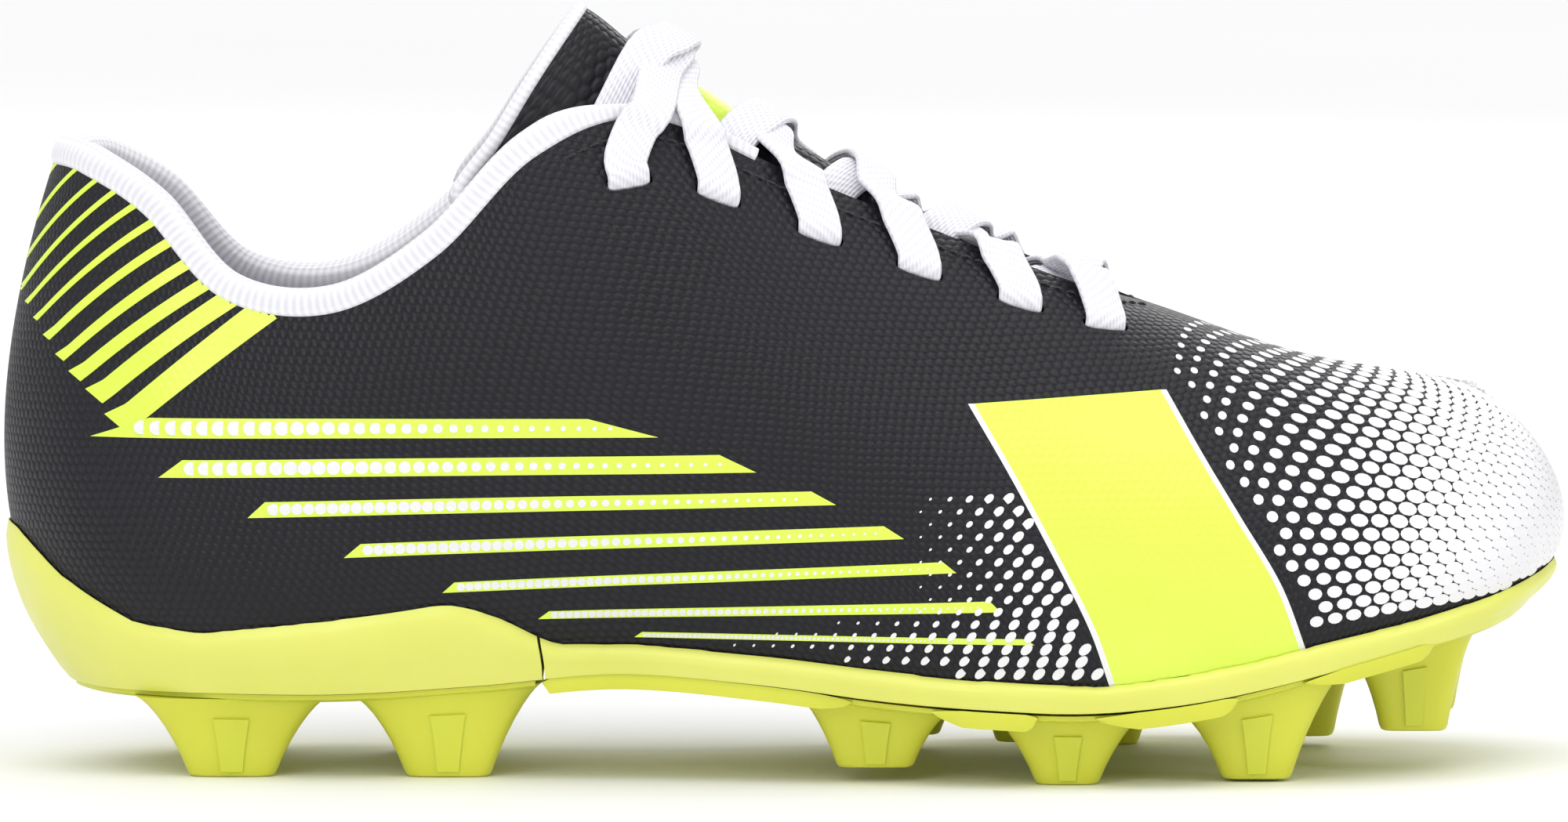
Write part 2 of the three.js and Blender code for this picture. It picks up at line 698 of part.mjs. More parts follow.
// A point of the tongue: u 0 at its foot to 1 at its end, v -1 to 1 across, depth under its face.
function tonguePoint(u, v, depth) {
  const at = u * tongueSteps;
  const beyond = Math.max(at - tongueSteps, 0);
  const back = Math.max(Math.min(at, tongueSteps) - 0.05, 0);
  const front = Math.min(back + 0.1, tongueSteps);
  const middle = (place) => new THREE.Vector3(along(tongueLineX, place), 0, along(tongueLineZ, place));
  const forward = middle(front).sub(middle(back));
  const stepLength = forward.length() / (front - back);
  forward.normalize();
  const normal = new THREE.Vector3(forward.z, 0, -forward.x);
  const drawnY = v * along(tongueHalf, at);
  const y = drawnY * scale.y;
  const slope = (2 * tongueArch * drawnY) / scale.y;
  const flat = Math.sqrt(1 + slope * slope);
  const shift = tongueShift * (1 - smooth(0, 0.35, u));
  return middle(at)
    .addScaledVector(forward, beyond * stepLength)
    .addScaledVector(normal, -tongueArch * drawnY * drawnY - depth / flat)
    .add(new THREE.Vector3(0, y + shift - (depth * slope) / flat, 0));
}

const tongueEnd = (v) => 1 - 0.03 * v ** 4;

function foamAt(u, v) {
  const fullness = (1 - v ** 4) * smooth(0, 0.25, u) * (1 - 0.5 * smooth(0.85, 1, u));
  return 0.7 + (tongueFoam - 0.7) * fullness;
}

const foamTop = () => tongueFaceThickness + layerGap;
const foamBottom = (u, v) => foamTop() + foamAt(u, v);
const tongueLiningTop = (u, v) => foamBottom(u, v) + layerGap;
const tongueLiningBottom = (u, v) => tongueLiningTop(u, v) + liningThickness;

// A layer of the tongue between two depths, from share uFrom of its length up to uTo.
function tongueLayer(outside, inside, uFrom = 0, uTo = tongueEnd, reach = 1) {
  const across = Math.ceil(tongueAcross * reach);
  const upwards = Math.ceil(tongueUp * (uTo(0) - uFrom));
  const grid = (depth) =>
    even(-reach, reach, across).map((v) =>
      even(0, 1, upwards).map((f) => {
        const u = uFrom + (uTo(v) - uFrom) * f;
        return tonguePoint(u, v, depth(u, v));
      }),
    );
  return sheetSolid(grid(outside), grid(inside));
}

// The binding tape runs up one side, over the free end and down the other side.
function tongueBindingGeometry() {
  const away = tongueBindingWidth / 2 + 2.5 * layerGap;
  const beside = (u) => 1 + away / (along(tongueHalf, u * tongueSteps) * 1.7);
  const beyond = (away + 0.4) / tongueLength;
  const sideStops = even(0.08, 0.86, 9);
  const path = [
    ...sideStops.map((u) => [u, -beside(u)]),
    [1, -1.07],
    ...even(-0.86, 0.86, 8).map((v) => [tongueEnd(v) + beyond, v]),
    [1, 1.07],
    ...sideStops.reverse().map((u) => [u, beside(u)]),
  ];
  const depthAt = (u, v) => tongueLiningBottom(Math.min(u, 1), Math.min(Math.max(v, -1), 1));
  const points = path.map(([u, v]) => tonguePoint(u, v, depthAt(u, v) / 2));
  const widths = path.map(([u, v]) => tonguePoint(u, v, 0).sub(tonguePoint(u, v, 3)));
  const wide = (n) => depthAt(...path[n]) + 0.6;
  return barSolid(points, widths, wide, tongueBindingWidth, 8);
}

function labelGeometry() {
  const top = () => -layerGap - labelThickness;
  const bottom = () => -layerGap;
  return tongueLayer(top, bottom, 0.74, () => 0.88, 0.42);
}

// ---------- sole ----------
const plateTop = marginDrop + cupGap; // below the feather line
const plateBottom = plateTop + plateThickness;
const studBaseTop = plateBottom + layerGap;
const studBaseBottom = studBaseTop + studBaseThickness;
const boardBottom = marginTop + upperThickness; // above the feather line, clear of the pleats
const boardTop = boardBottom + boardThickness;
const linerBottom = boardTop + layerGap;

// A point across the foot of the shoe: share 0 on its middle line, 1 at the outline less inset.
function acrossPoint(place, share, inset, height) {
  const outline = footPoint(place, -inset, height);
  const middle = footPoint(-place, -inset, height).add(outline).multiplyScalar(0.5);
  return middle.lerp(outline, share);
}

// A slab across the foot, from height low to height high over the feather line.
function slabGeometry(places, inset, low, high, bow = 0) {
  const grid = (height, out) =>
    places.map((place) => [0, 0.5, 1].map((share) => acrossPoint(place, share, inset - out, height)));
  return sheetSolid(grid(low, 0), grid(high, bow), { bottomRim: false });
}

// Plate and side wall moulded in one, over some ribs.
function soleShellGeometry(places) {
  const walls = places.map((place) => soleWallShare(place));
  const steps = [0, 0.33, 0.67, 1];
  const grid = (height, depth) =>
    places.map((place, n) => [
      ...[0, 0.5, 1].map((share) => acrossPoint(place, share, 0.6, height)),
      ...steps.map((f) => {
        const p = lastPoint(place, walls[n] * f, -depth(f));
        if (f === 0) p.z = Math.min(p.z, footPoint(place, 0, height + 0.5).z);
        return p;
      }),
    ]);
  const outside = grid(-plateBottom, (f) => cupGap + cupThickness * (1 - 0.6 * f ** 3));
  const inside = grid(-plateTop, () => cupGap);
  return sheetSolid(outside, inside, { bottomRim: false });
}

// A rounded rectangle, counter-clockwise seen from above, with a height for each of its points.
function roundedRing([x, y], [long, wide], heightOf) {
  const ring = [];
  const radius = 0.32 * Math.min(long, wide);
  for (let corner = 0; corner < 4; corner += 1) {
    const sx = corner === 0 || corner === 3 ? 1 : -1;
    const sy = corner < 2 ? 1 : -1;
    for (const turn of [0, 0.5, 1]) {
      const angle = ((corner + turn) * Math.PI) / 2;
      const px = x + sx * (long / 2 - radius) + radius * Math.cos(angle);
      const py = y + sy * (wide / 2 - radius) + radius * Math.sin(angle);
      ring.push(new THREE.Vector3(px, py, heightOf(px)));
    }
  }
  return ring;
}

function studGeometry({ at, root, tip, lift }) {
  const place = [at[0] * scale.x, at[1] * scale.y];
  const tipHeight = lift * scale.z;
  const rootHeight = (x) => footHeight(x) - (studBaseTop + studBaseBottom) / 2;
  const level = (f, narrow) => {
    const size = root.map((long, n) => long + (tip[n] - long) * narrow);
    return roundedRing(place, size, (x) => tipHeight + (rootHeight(x) - tipHeight) * f);
  };
  const chamfered = tip.map((long) => long - 1.2);
  const foot = roundedRing(place, chamfered, () => tipHeight);
  return stackSolid([foot, level(0.07, 1), level(0.45, 0.86), level(0.8, 0.6), level(1, 0)]);
}

function studFrameGeometry(places, inset, list) {
  const base = slabGeometry(places, inset, -studBaseBottom, -studBaseTop);
  return join([base, ...list.map(studGeometry)]);
}

// ---------- the shoe ----------
const finishes = {
  synthetic: { color: 0x2b2b33, roughness: 0.45, metalness: 0 },
  textile: { color: 0xe6e5ea, roughness: 0.95, metalness: 0 },
  mesh: { color: 0xe9e8ee, roughness: 1, metalness: 0 },
  foam: { color: 0xd9d6cf, roughness: 1, metalness: 0 },
  board: { color: 0xc9c2ae, roughness: 1, metalness: 0 },
  stiffener: { color: 0x9b978d, roughness: 0.9, metalness: 0 },
  cord: { color: 0xfbfaff, roughness: 0.9, metalness: 0 },
  clear: { color: 0xf0f0f2, roughness: 0.25, metalness: 0 },
  paleSole: { color: 0xe1e373, roughness: 0.35, metalness: 0 },
  brightSole: { color: 0xcdd136, roughness: 0.4, metalness: 0 },
  label: { color: 0xdcf365, roughness: 0.5, metalness: 0 },
};

const shoe = new THREE.Group();

function addPart(name, geometry, finish) {
  const part = new THREE.Mesh(geometry, new THREE.MeshStandardMaterial(finishes[finish]));
  part.name = name;
  shoe.add(part);
}

addPart("upper", upperGeometry(), "synthetic");
addPart("eyestay_backing_lateral", eyestayGeometry(-1), "stiffener");
addPart("eyestay_backing_medial", eyestayGeometry(1), "stiffener");
addPart("heel_counter", heelCounterGeometry(), "stiffener");
addPart("toe_puff", toePuffGeometry(), "stiffener");
addPart("collar_foam", collarFoamGeometry(), "foam");
addPart("collar_lining", collarLiningGeometry(), "mesh");
addPart("vamp_lining", vampLiningGeometry(), "textile");
addPart("collar_binding", collarBindingGeometry(), "textile");
addPart("tongue_face", tongueLayer(() => 0, () => tongueFaceThickness), "synthetic");
addPart("tongue_foam", tongueLayer(foamTop, foamBottom), "foam");
addPart("tongue_lining", tongueLayer(tongueLiningTop, tongueLiningBottom), "mesh");
addPart("tongue_binding", tongueBindingGeometry(), "textile");
addPart("tongue_label", labelGeometry(), "label");
addPart("lace", laceGeometry(), "cord");
addPart("aglet_lateral", agletGeometry(-1), "clear");
addPart("aglet_medial", agletGeometry(1), "clear");
const wholeFoot = ribStops(0, 2 * toeRib);
addPart("insole_board", slabGeometry(wholeFoot, boardInset, boardBottom, boardTop), "board");
const linerTop = linerBottom + sockLinerThickness;
addPart("sock_liner", slabGeometry(wholeFoot, boardInset, linerBottom, linerTop, 0.6), "mesh");
addPart("heel_cup", soleShellGeometry(ribStops(-cupFront, cupFront)), "paleSole");
const plateBack = cupFront + 0.015;
addPart("sole_plate", soleShellGeometry(ribStops(plateBack, 2 * toeRib - plateBack)), "paleSole");
const heelPlaces = ribStops(-heelFrameFront, heelFrameFront);
addPart("heel_stud_frame", studFrameGeometry(heelPlaces, studInset, studs.heel), "brightSole");
const forefootPlaces = ribStops(studFrameBack, 2 * toeRib - studFrameBack);
addPart("forefoot_stud_frame", studFrameGeometry(forefootPlaces, studInset, studs.forefoot), "brightSole");

// The origin lies under the middle of the shoe, on the ground.
const bounds = new THREE.Box3().setFromObject(shoe);
const centre = bounds.getCenter(new THREE.Vector3());
shoe.position.set(-centre.x, -centre.y, -bounds.min.z);

export default shoe;
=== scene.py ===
import bpy, bmesh, math
import numpy as np
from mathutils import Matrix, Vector
from mathutils.bvhtree import BVHTree


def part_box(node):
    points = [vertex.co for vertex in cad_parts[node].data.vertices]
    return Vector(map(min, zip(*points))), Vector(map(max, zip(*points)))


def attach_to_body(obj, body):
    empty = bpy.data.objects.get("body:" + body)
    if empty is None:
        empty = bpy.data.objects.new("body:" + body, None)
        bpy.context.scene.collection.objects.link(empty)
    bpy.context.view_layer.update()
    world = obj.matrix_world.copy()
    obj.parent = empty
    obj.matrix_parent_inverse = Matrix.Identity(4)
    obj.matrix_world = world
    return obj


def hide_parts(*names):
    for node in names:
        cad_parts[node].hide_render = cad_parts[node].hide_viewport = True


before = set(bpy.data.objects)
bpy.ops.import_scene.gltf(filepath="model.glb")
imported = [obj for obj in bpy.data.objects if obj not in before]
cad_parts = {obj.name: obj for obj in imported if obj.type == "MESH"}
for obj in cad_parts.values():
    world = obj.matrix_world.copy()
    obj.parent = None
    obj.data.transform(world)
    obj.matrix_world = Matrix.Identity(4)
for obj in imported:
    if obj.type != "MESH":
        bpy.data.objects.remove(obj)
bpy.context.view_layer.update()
mm = 0.001

# ribs of the last, heel to toe: foot, half widths outer/inner, edge, edge half width, middle, bulge, lean
lastShape = {
    "ribs": [
        [(-108, 15.5), (0, 0), (-111.6, 91.6), 0, 0, (14.4, 15), (9.6, 31)],
        [(-102, 15.2), (15.5, 15), (-107, 91), 12, 0, (12, 15), (8.5, 30)],
        [(-88, 15), (24, 23), (-97, 85.2), 20.5, 0, (9.5, 16), (7, 26)],
        [(-68, 15), (26.5, 24.5), (-85, 72.9), 26, 0, (9, 16), (5, 20)],
        [(-47, 16.3), (26.5, 22.5), (-69, 71), 28.5, 0, (9, 16), (4.5, 18)],
        [(-26, 18.2), (28, 21.5), (-53.5, 79.6), 29.5, 0, (9, 16), (5.5, 20)],
        [(-5, 16.8), (31.5, 24), (-38.8, 94.4), 27, 0, (8.5, 18), (9, 21)],
        [(13, 14.6), (35, 29.5), (-22, 99.8), 19.5, 0, (7.5, 20), (13, 17)],
        [(29, 13.4), (37.8, 34), (0, 90.4), 14.5, 0.3, (7, 19), (15, 13)],
        [(44, 13), (38.5, 37), (22, 81.4), 12.5, 0.6, (7, 18), (16, 11)],
        [(58, 14.2), (37, 37.5), (43, 73.4), 10.5, 1, (7, 17), (17, 8)],
        [(71, 16.6), (34, 36.5), (53.5, 69.8), 0, 1.4, (7, 15), (27, 0.5)],
        [(85, 20), (29.5, 34.5), (74, 62.7), 0, 2.6, (7, 13), (23, 1)],
        [(98, 23.2), (22, 31), (89.5, 59.6), 0, 4.2, (8, 9), (19, 2.5)],
        [(106.5, 25.6), (12, 23.5), (98, 58.2), 0, 5.4, (9.5, 6.5), (17.5, 5.5)],
        [(110, 27), (-6.2, 6.2), (103, 56.8), 0, 6.2, (11.2, 4), (14, 8.4)],
    ],
    "widthFactor": 86 / 81,
    "throatEnd": 11,
    "upperThickness": 1.1,
    "liningDepth": 2.4,
    "liningThickness": 0.7,
    "collarPad": 3.6,
}
toeRib = len(lastShape["ribs"]) - 1


def together(*values):
    return np.broadcast_arrays(*[np.asarray(value, float) for value in values])


def smooth(low, high, value):
    f = np.clip((np.asarray(value, float) - low) / (high - low), 0, 1)
    return f * f * (3 - 2 * f)


def ringRows():
    rows = []
    for side, order in ((-1, range(toeRib + 1)), (1, range(toeRib - 1, 0, -1))):
        for k in order:
            foot, out, edge, half, mid, bulge, lean = lastShape["ribs"][k]
            wide = out[0] if side < 0 else out[1]
            footY = mid if k == toeRib else side * wide
            w = lastShape["widthFactor"]
            rows.append([foot[0], footY * w, foot[1], edge[0], (mid + side * half) * w, edge[1],
                         bulge[0] * w, bulge[1], lean[0] * w, lean[1]])
    return np.array(rows, float)


ring = ringRows()


def catmull(a, b, c, d, f):
    return b + 0.5 * f * (c - a + f * (2 * a - 5 * b + 4 * c - d + f * (3 * (b - c) + d - a)))


def ribAt(place):
    at = np.mod(np.asarray(place, float), len(ring))
    k = np.floor(at).astype(int)
    rows = [ring[(k + n) % len(ring)] for n in (-1, 0, 1, 2)]
    return catmull(*rows, (at - k)[..., None])


def ribNumber(place):
    at = np.mod(np.asarray(place, float), len(ring))
    return np.where(at <= toeRib, at, len(ring) - at)


def outward(place):
    step = ribAt(np.asarray(place) + 0.05) - ribAt(np.asarray(place) - 0.05)
    along = step[..., :2] / np.linalg.norm(step[..., :2], axis=-1, keepdims=True)
    return np.stack([along[..., 1], -along[..., 0], 0 * along[..., 0]], -1)


def wallPoint(place, t):
    place, t = together(place, t)
    r, out, number = ribAt(place), outward(place), ribNumber(place)
    closed = number >= lastShape["throatEnd"] - 1e-6
    edgeY = np.where(closed, (ribAt(number)[..., 4] + ribAt(-number)[..., 4]) / 2, r[..., 4])
    foot = r[..., :3]
    edge = np.stack([r[..., 3], edgeY, r[..., 5]], -1)
    up = np.array([0, 0, 1.0])
    low = foot + out * r[..., 6:7] + up * r[..., 7:8]
    high = edge + out * r[..., 8:9] - up * r[..., 9:10]
    s = t[..., None]
    return (1 - s) ** 3 * foot + 3 * (1 - s) ** 2 * s * low + 3 * (1 - s) * s * s * high + s ** 3 * edge


def unit(v):
    return v / np.maximum(np.linalg.norm(v, axis=-1, keepdims=True), 1e-9)


def wallNormal(place, t):
    place, t = together(place, t)
    row = np.minimum(t, 0.98)  # both sides fold together at the very edge of the toe
    sideways = wallPoint(place + 0.04, row) - wallPoint(place - 0.04, row)
    upwards = wallPoint(place, np.minimum(t + 0.02, 1)) - wallPoint(place, np.maximum(t - 0.02, 0))
    return unit(np.cross(sideways, upwards))


def lastPoint(place, t, depth):
    place, t, depth = together(place, t, depth)
    number = ribNumber(place)
    fold = (number >= lastShape["throatEnd"] - 1e-6) & (t > 1 - 1e-9)
    at = np.where(fold, number, place)
    normal = wallNormal(at, t)
    normal = np.where(fold[..., None], unit(normal + wallNormal(-at, t)), normal)
    return wallPoint(at, t) - normal * depth[..., None]


# the CAD upper is sampled at half ribs and eighths of the wall, so its box gives the place and scale
def fitToFrame():
    place, t = np.meshgrid(np.arange(60) / 2, np.arange(9) / 8, indexing="ij")
    drawn = lastPoint(place, t, 0).reshape(-1, 3)
    low, high = [np.array(corner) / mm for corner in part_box("upper")]
    stretch = (high - low)[:2] / (drawn.max(0) - drawn.min(0))[:2]
    factor = np.array([stretch[0], stretch[1], 1.0])
    shift = np.array([*(low[:2] - drawn.min(0)[:2] * stretch), high[2] - drawn.max(0)[2]])
    return factor, shift


frameFactor, frameShift = fitToFrame()
print("last placed", frameFactor.round(4), frameShift.round(3))


def toFrame(points):
    return (np.asarray(points, float) * frameFactor + frameShift) * mm


def makePiece(name, points, faces, uvs=None, sharpAngle=50, merge=True, inFrame=False):
    mesh = bpy.data.meshes.new(name)
    coords = points if inFrame else toFrame(points)
    mesh.from_pydata([tuple(p) for p in coords], [], [tuple(f) for f in faces])
    if uvs is not None:
        layer = mesh.uv_layers.new(name="UVMap")
        index = np.empty(len(mesh.loops), int)
        mesh.loops.foreach_get("vertex_index", index)
        layer.data.foreach_set("uv", np.asarray(uvs, float)[index].ravel())
    obj = bpy.data.objects.new(name, mesh)
    bpy.context.collection.objects.link(obj)
    if merge:
        bm = bmesh.new()
        bm.from_mesh(mesh)
        bmesh.ops.remove_doubles(bm, verts=bm.verts, dist=2e-6)
        bmesh.ops.dissolve_degenerate(bm, edges=bm.edges, dist=1e-6)
        bm.to_mesh(mesh)
        bm.free()
    mesh.shade_smooth()
    if sharpAngle:
        mesh.set_sharp_from_angle(angle=math.radians(sharpAngle))
    return obj


def sheetFaces(columns, rows, start=0, turned=False):
    faces = []
    for n in range(columns - 1):
        for k in range(rows - 1):
            a = start + n * rows + k
            quad = (a, a + rows, a + rows + 1, a + 1)
            faces.append(quad[::-1] if turned else quad)
    return faces


# a closed sheet between two grids [column][row] of points, its rims only where they are real edges
def sheetSolid(outer, inner, uv=None, topRim=None, bottomRim=True, endRims=True):
    columns, rows = outer.shape[:2]
    size = columns * rows
    faces = sheetFaces(columns, rows) + sheetFaces(columns, rows, size, True)
    for n in range(columns - 1):
        a, top = n * rows, n * rows + rows - 1
        if bottomRim:
            faces.append((a, a + size, a + rows + size, a + rows))
        if topRim is None or topRim[n]:
            faces.append((top, top + rows, top + rows + size, top + size))
    if endRims:
        last = (columns - 1) * rows
        for k in range(rows - 1):
            faces.append((k, k + 1, k + 1 + size, k + size))
            faces.append((last + k, last + k + size, last + k + 1 + size, last + k + 1))
    points = np.concatenate([outer.reshape(-1, 3), inner.reshape(-1, 3)])
    uvs = None if uv is None else np.concatenate([uv.reshape(-1, 2)] * 2)
    return points, faces, uvs


# faces of a closed tube of rings, with a flat end at each side
def ringFaces(rings, sides):
    faces = []
    for n in range(rings - 1):
        for k in range(sides):
            m = (k + 1) % sides
            a, b = n * sides, (n + 1) * sides
            faces.append((a + k, a + m, b + m, b + k))
    faces.append(tuple(range(sides))[::-1])
    faces.append(tuple(range((rings - 1) * sides, rings * sides)))
    return faces


# a bar along a path: the section is rings of (across, rise) pairs in mm
def barSolid(path, lies, section):
    path, lies = np.asarray(path, float), np.asarray(lies, float)
    forward = unit(np.gradient(path, axis=0))
    across = unit(lies - forward * np.sum(lies * forward, -1, keepdims=True))
    normal = np.cross(forward, across)
    section = np.asarray(section, float)
    if section.ndim == 2:
        section = np.repeat(section[None], len(path), 0)
    sides = section.shape[1]
    points = path[:, None] + across[:, None] * section[..., :1] + normal[:, None] * section[..., 1:2]
    length = np.concatenate([[0], np.cumsum(np.linalg.norm(np.diff(path, axis=0), axis=-1))])
    wide = section[0, :, 0]
    uv = np.stack(np.broadcast_arrays(length[:, None], wide[None, :]), -1)
    return points.reshape(-1, 3), ringFaces(len(path), sides), uv.reshape(-1, 2)


def ovalSection(wide, thick, sides=14, power=2.0):
    angle = np.arange(sides) * 2 * math.pi / sides
    c, s = np.cos(angle), np.sin(angle)
    x = np.sign(c) * np.abs(c) ** (2 / power) * wide / 2
    y = np.sign(s) * np.abs(s) ** (2 / power) * thick / 2
    return np.stack([x, y], -1)


# a smooth curve through stops, with the same count of steps between each two
def smoothPath(stops, steps):
    stops = np.asarray(stops, float)
    padded = np.concatenate([[2 * stops[0] - stops[1]], stops, [2 * stops[-1] - stops[-2]]])
    f = np.arange(steps)[:, None] / steps
    runs = [catmull(padded[n], padded[n + 1], padded[n + 2], padded[n + 3], f) for n in range(len(stops) - 1)]
    return np.concatenate(runs + [stops[-1:]])


def attach(obj, material, body, slot, *nodes):
    obj.data.materials.append(material)
    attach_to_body(obj, body)
    if nodes:
        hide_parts(*nodes)
    return obj


class Nodes:
    def __init__(self, name):
        self.material = bpy.data.materials.new(name)
        self.material.use_nodes = True
        self.tree = self.material.node_tree
        self.shader = self.tree.nodes["Principled BSDF"]

    def add(self, kind, inputs=(), **settings):
        node = self.tree.nodes.new(kind)
        for key, value in settings.items():
            setattr(node, key, value)
        for key, value in dict(inputs).items():
            if hasattr(value, "links"):
                self.tree.links.new(value, node.inputs[key])
            else:
                node.inputs[key].default_value = value
        return node

    def math(self, operation, a, b=0.0, c=0.0):
        return self.add("ShaderNodeMath", {0: a, 1: b, 2: c}, operation=operation).outputs[0]

    def vector(self, operation, a, b=(0, 0, 0)):
        node = self.add("ShaderNodeVectorMath", {0: a, 1: b}, operation=operation)
        return node.outputs["Value" if operation in ("LENGTH", "DOT_PRODUCT") else "Vector"]

    def mix(self, factor, a, b):
        node = self.add("ShaderNodeMix", {0: factor}, data_type="RGBA")
        for socket, value in ((node.inputs[6], a), (node.inputs[7], b)):
            if hasattr(value, "links"):
                self.tree.links.new(value, socket)
            else:
                socket.default_value = (*value, 1)
        return node.outputs[2]

    def noise(self, scale, detail=2.0, rough=0.5, vector=None):
        inputs = {"Scale": scale, "Detail": detail, "Roughness": rough}
        inputs["Vector"] = vector if vector is not None else self.place
        return self.add("ShaderNodeTexNoise", inputs).outputs["Fac"]

    def range(self, value, low, high, to0=0.0, to1=1.0):
        inputs = {"Value": value, "From Min": low, "From Max": high, "To Min": to0, "To Max": to1}
        return self.add("ShaderNodeMapRange", inputs).outputs[0]

    @property
    def place(self):
        return self.add("ShaderNodeTexCoord").outputs["Object"]

    @property
    def uv(self):
        return self.add("ShaderNodeTexCoord").outputs["UV"]

    def bump(self, height, strength, distance, under=None):
        inputs = {"Height": height, "Strength": strength, "Distance": distance}
        if under is not None:
            inputs["Normal"] = under
        return self.add("ShaderNodeBump", inputs).outputs["Normal"]

    def finish(self, color, roughness, normal=None, **sockets):
        for key, value in {"Base Color": color, "Roughness": roughness, "Normal": normal}.items():
            if value is None:
                continue
            if hasattr(value, "links"):
                self.tree.links.new(value, self.shader.inputs[key])
            else:
                self.shader.inputs[key].default_value = (*value, 1) if key == "Base Color" else value
        for key, value in sockets.items():
            self.shader.inputs[key.replace("_", " ")].default_value = value
        return self.material


# raised cells of the embossing, in rows offset by half, from UVs in mm
def cellHeight(nodes, pitch):
    grid = nodes.vector("MULTIPLY", nodes.uv, (1 / pitch, 1 / (pitch * 1.732), 0))
    noise = nodes.add("ShaderNodeTexNoise", {"Vector": nodes.uv, "Scale": 0.35, "Detail": 1.0})
    wobble = noise.outputs["Color"]
    grid = nodes.vector("ADD", grid, nodes.vector("MULTIPLY", wobble, (0.5, 0.3, 0)))
    distances = []
    for offset in (0.0, 0.5):
        cell = nodes.vector("FRACTION", nodes.vector("ADD", grid, (offset, offset, 0)))
        centred = nodes.vector("SUBTRACT", cell, (0.5, 0.5, 0))
        stretched = nodes.vector("MULTIPLY", centred, (1, 1.732, 0))
        distances.append(nodes.vector("LENGTH", stretched))
    nearest = nodes.math("MINIMUM", *distances)
    return nodes.range(nearest, 0.52, 0.2)


# the second tone is a painted highlight, lighter on the tops of the raised cells
embossedLook = {"black": (0.009, 0.009, 0.012), "cellTopHighlight": (0.019, 0.019, 0.025), "pitch": 1.5, "depth": 0.0002}


def embossedSynthetic(name="embossedSynthetic"):
    n = Nodes(name)
    cells = cellHeight(n, embossedLook["pitch"])
    patches = n.noise(45, 3)
    grain = n.noise(2600, 3, 0.6)
    # painted highlight: the raised cell tops take the lighter tone, varied in random patches
    color = n.mix(n.math("MULTIPLY", patches, cells), embossedLook["black"], embossedLook["cellTopHighlight"])
    rough = n.range(n.math("ADD", patches, n.math("MULTIPLY", cells, -0.25)), 0.2, 0.8, 0.36, 0.56)
    fine = n.bump(grain, 0.25, 0.00006)
    normal = n.bump(cells, 0.75, embossedLook["depth"], fine)
    return n.finish(color, rough, normal, Specular_IOR_Level=0.24)


def filmMaterial(name, color, deep, emboss=0.45):
    n = Nodes(name)
    cells = cellHeight(n, embossedLook["pitch"])
    tone = n.mix(n.noise(60, 3), color, deep)
    normal = n.bump(cells, emboss, 0.0001, n.bump(n.noise(1800, 2), 0.15, 0.00004))
    sheen = n.range(n.noise(120, 2), 0.3, 0.7, 0.3, 0.42)
    return n.finish(tone, sheen, normal, Specular_IOR_Level=0.4, Coat_Weight=0.25, Coat_Roughness=0.22)


# woven tape and lace: ribs along and across the UVs in mm
def wovenMaterial(name, color, hollowShade, across=0.55, along=0.75, depth=0.00022):
    n = Nodes(name)
    waves = []
    for stretch, bands in (((0.2, 1 / across, 0), "Y"), ((1 / along, 0.9, 0), "DIAGONAL")):
        at = n.vector("MULTIPLY", n.uv, stretch)
        inputs = {"Vector": at, "Scale": 0.32, "Distortion": 0.6, "Detail": 1.0}
        waves.append(n.add("ShaderNodeTexWave", inputs, bands_direction=bands).outputs["Fac"])
    weave = n.math("ADD", *[n.math("MULTIPLY", wave, 0.5) for wave in waves])
    fuzz = n.noise(3500, 3, 0.7)
    # painted shade: the low parts of the weave take the darker colour
    tone = n.mix(weave, hollowShade, color)
    normal = n.bump(weave, 0.8, depth, n.bump(fuzz, 0.4, 0.00008))
    rough = n.range(fuzz, 0.3, 0.7, 0.8, 0.95)
    return n.finish(tone, rough, normal, Specular_IOR_Level=0.25, Sheen_Weight=0.25)


def meshCloth(name="spacerMesh", color=(0.82, 0.81, 0.86), hollowShade=(0.46, 0.45, 0.52)):
    n = Nodes(name)
    cells = cellHeight(n, 2.1)
    fuzz = n.noise(3000, 3, 0.7)
    # painted shade: the hollows between the raised cells take the darker colour
    tone = n.mix(cells, hollowShade, color)
    normal = n.bump(cells, 1.0, 0.0004, n.bump(fuzz, 0.4, 0.0001))
    rough = n.range(fuzz, 0.3, 0.7, 0.85, 1.0)
    return n.finish(tone, rough, normal, Specular_IOR_Level=0.2, Sheen_Weight=0.3)


def mouldedPlastic(name, color, deep, rough=0.34):
    n = Nodes(name)
    cloud = n.noise(28, 3)
    speck = n.noise(900, 3, 0.6)
    tone = n.mix(n.range(cloud, 0.35, 0.7), color, deep)
    normal = n.bump(speck, 0.18, 0.00008)
    sheen = n.range(n.noise(160, 4), 0.3, 0.7, rough - 0.06, rough + 0.1)
    depth = {"Subsurface_Weight": 0.08, "Subsurface_Scale": 0.004}
    return n.finish(tone, sheen, normal, Specular_IOR_Level=0.5, **depth)


def plainSheet(name, color, rough=0.8, grain=700):
    n = Nodes(name)
    fibre = n.noise(grain, 4, 0.7)
    tone = n.mix(fibre, tuple(0.75 * c for c in color), color)
    return n.finish(tone, n.range(fibre, 0.3, 0.7, rough - 0.1, rough), n.bump(fibre, 0.5, 0.0002))


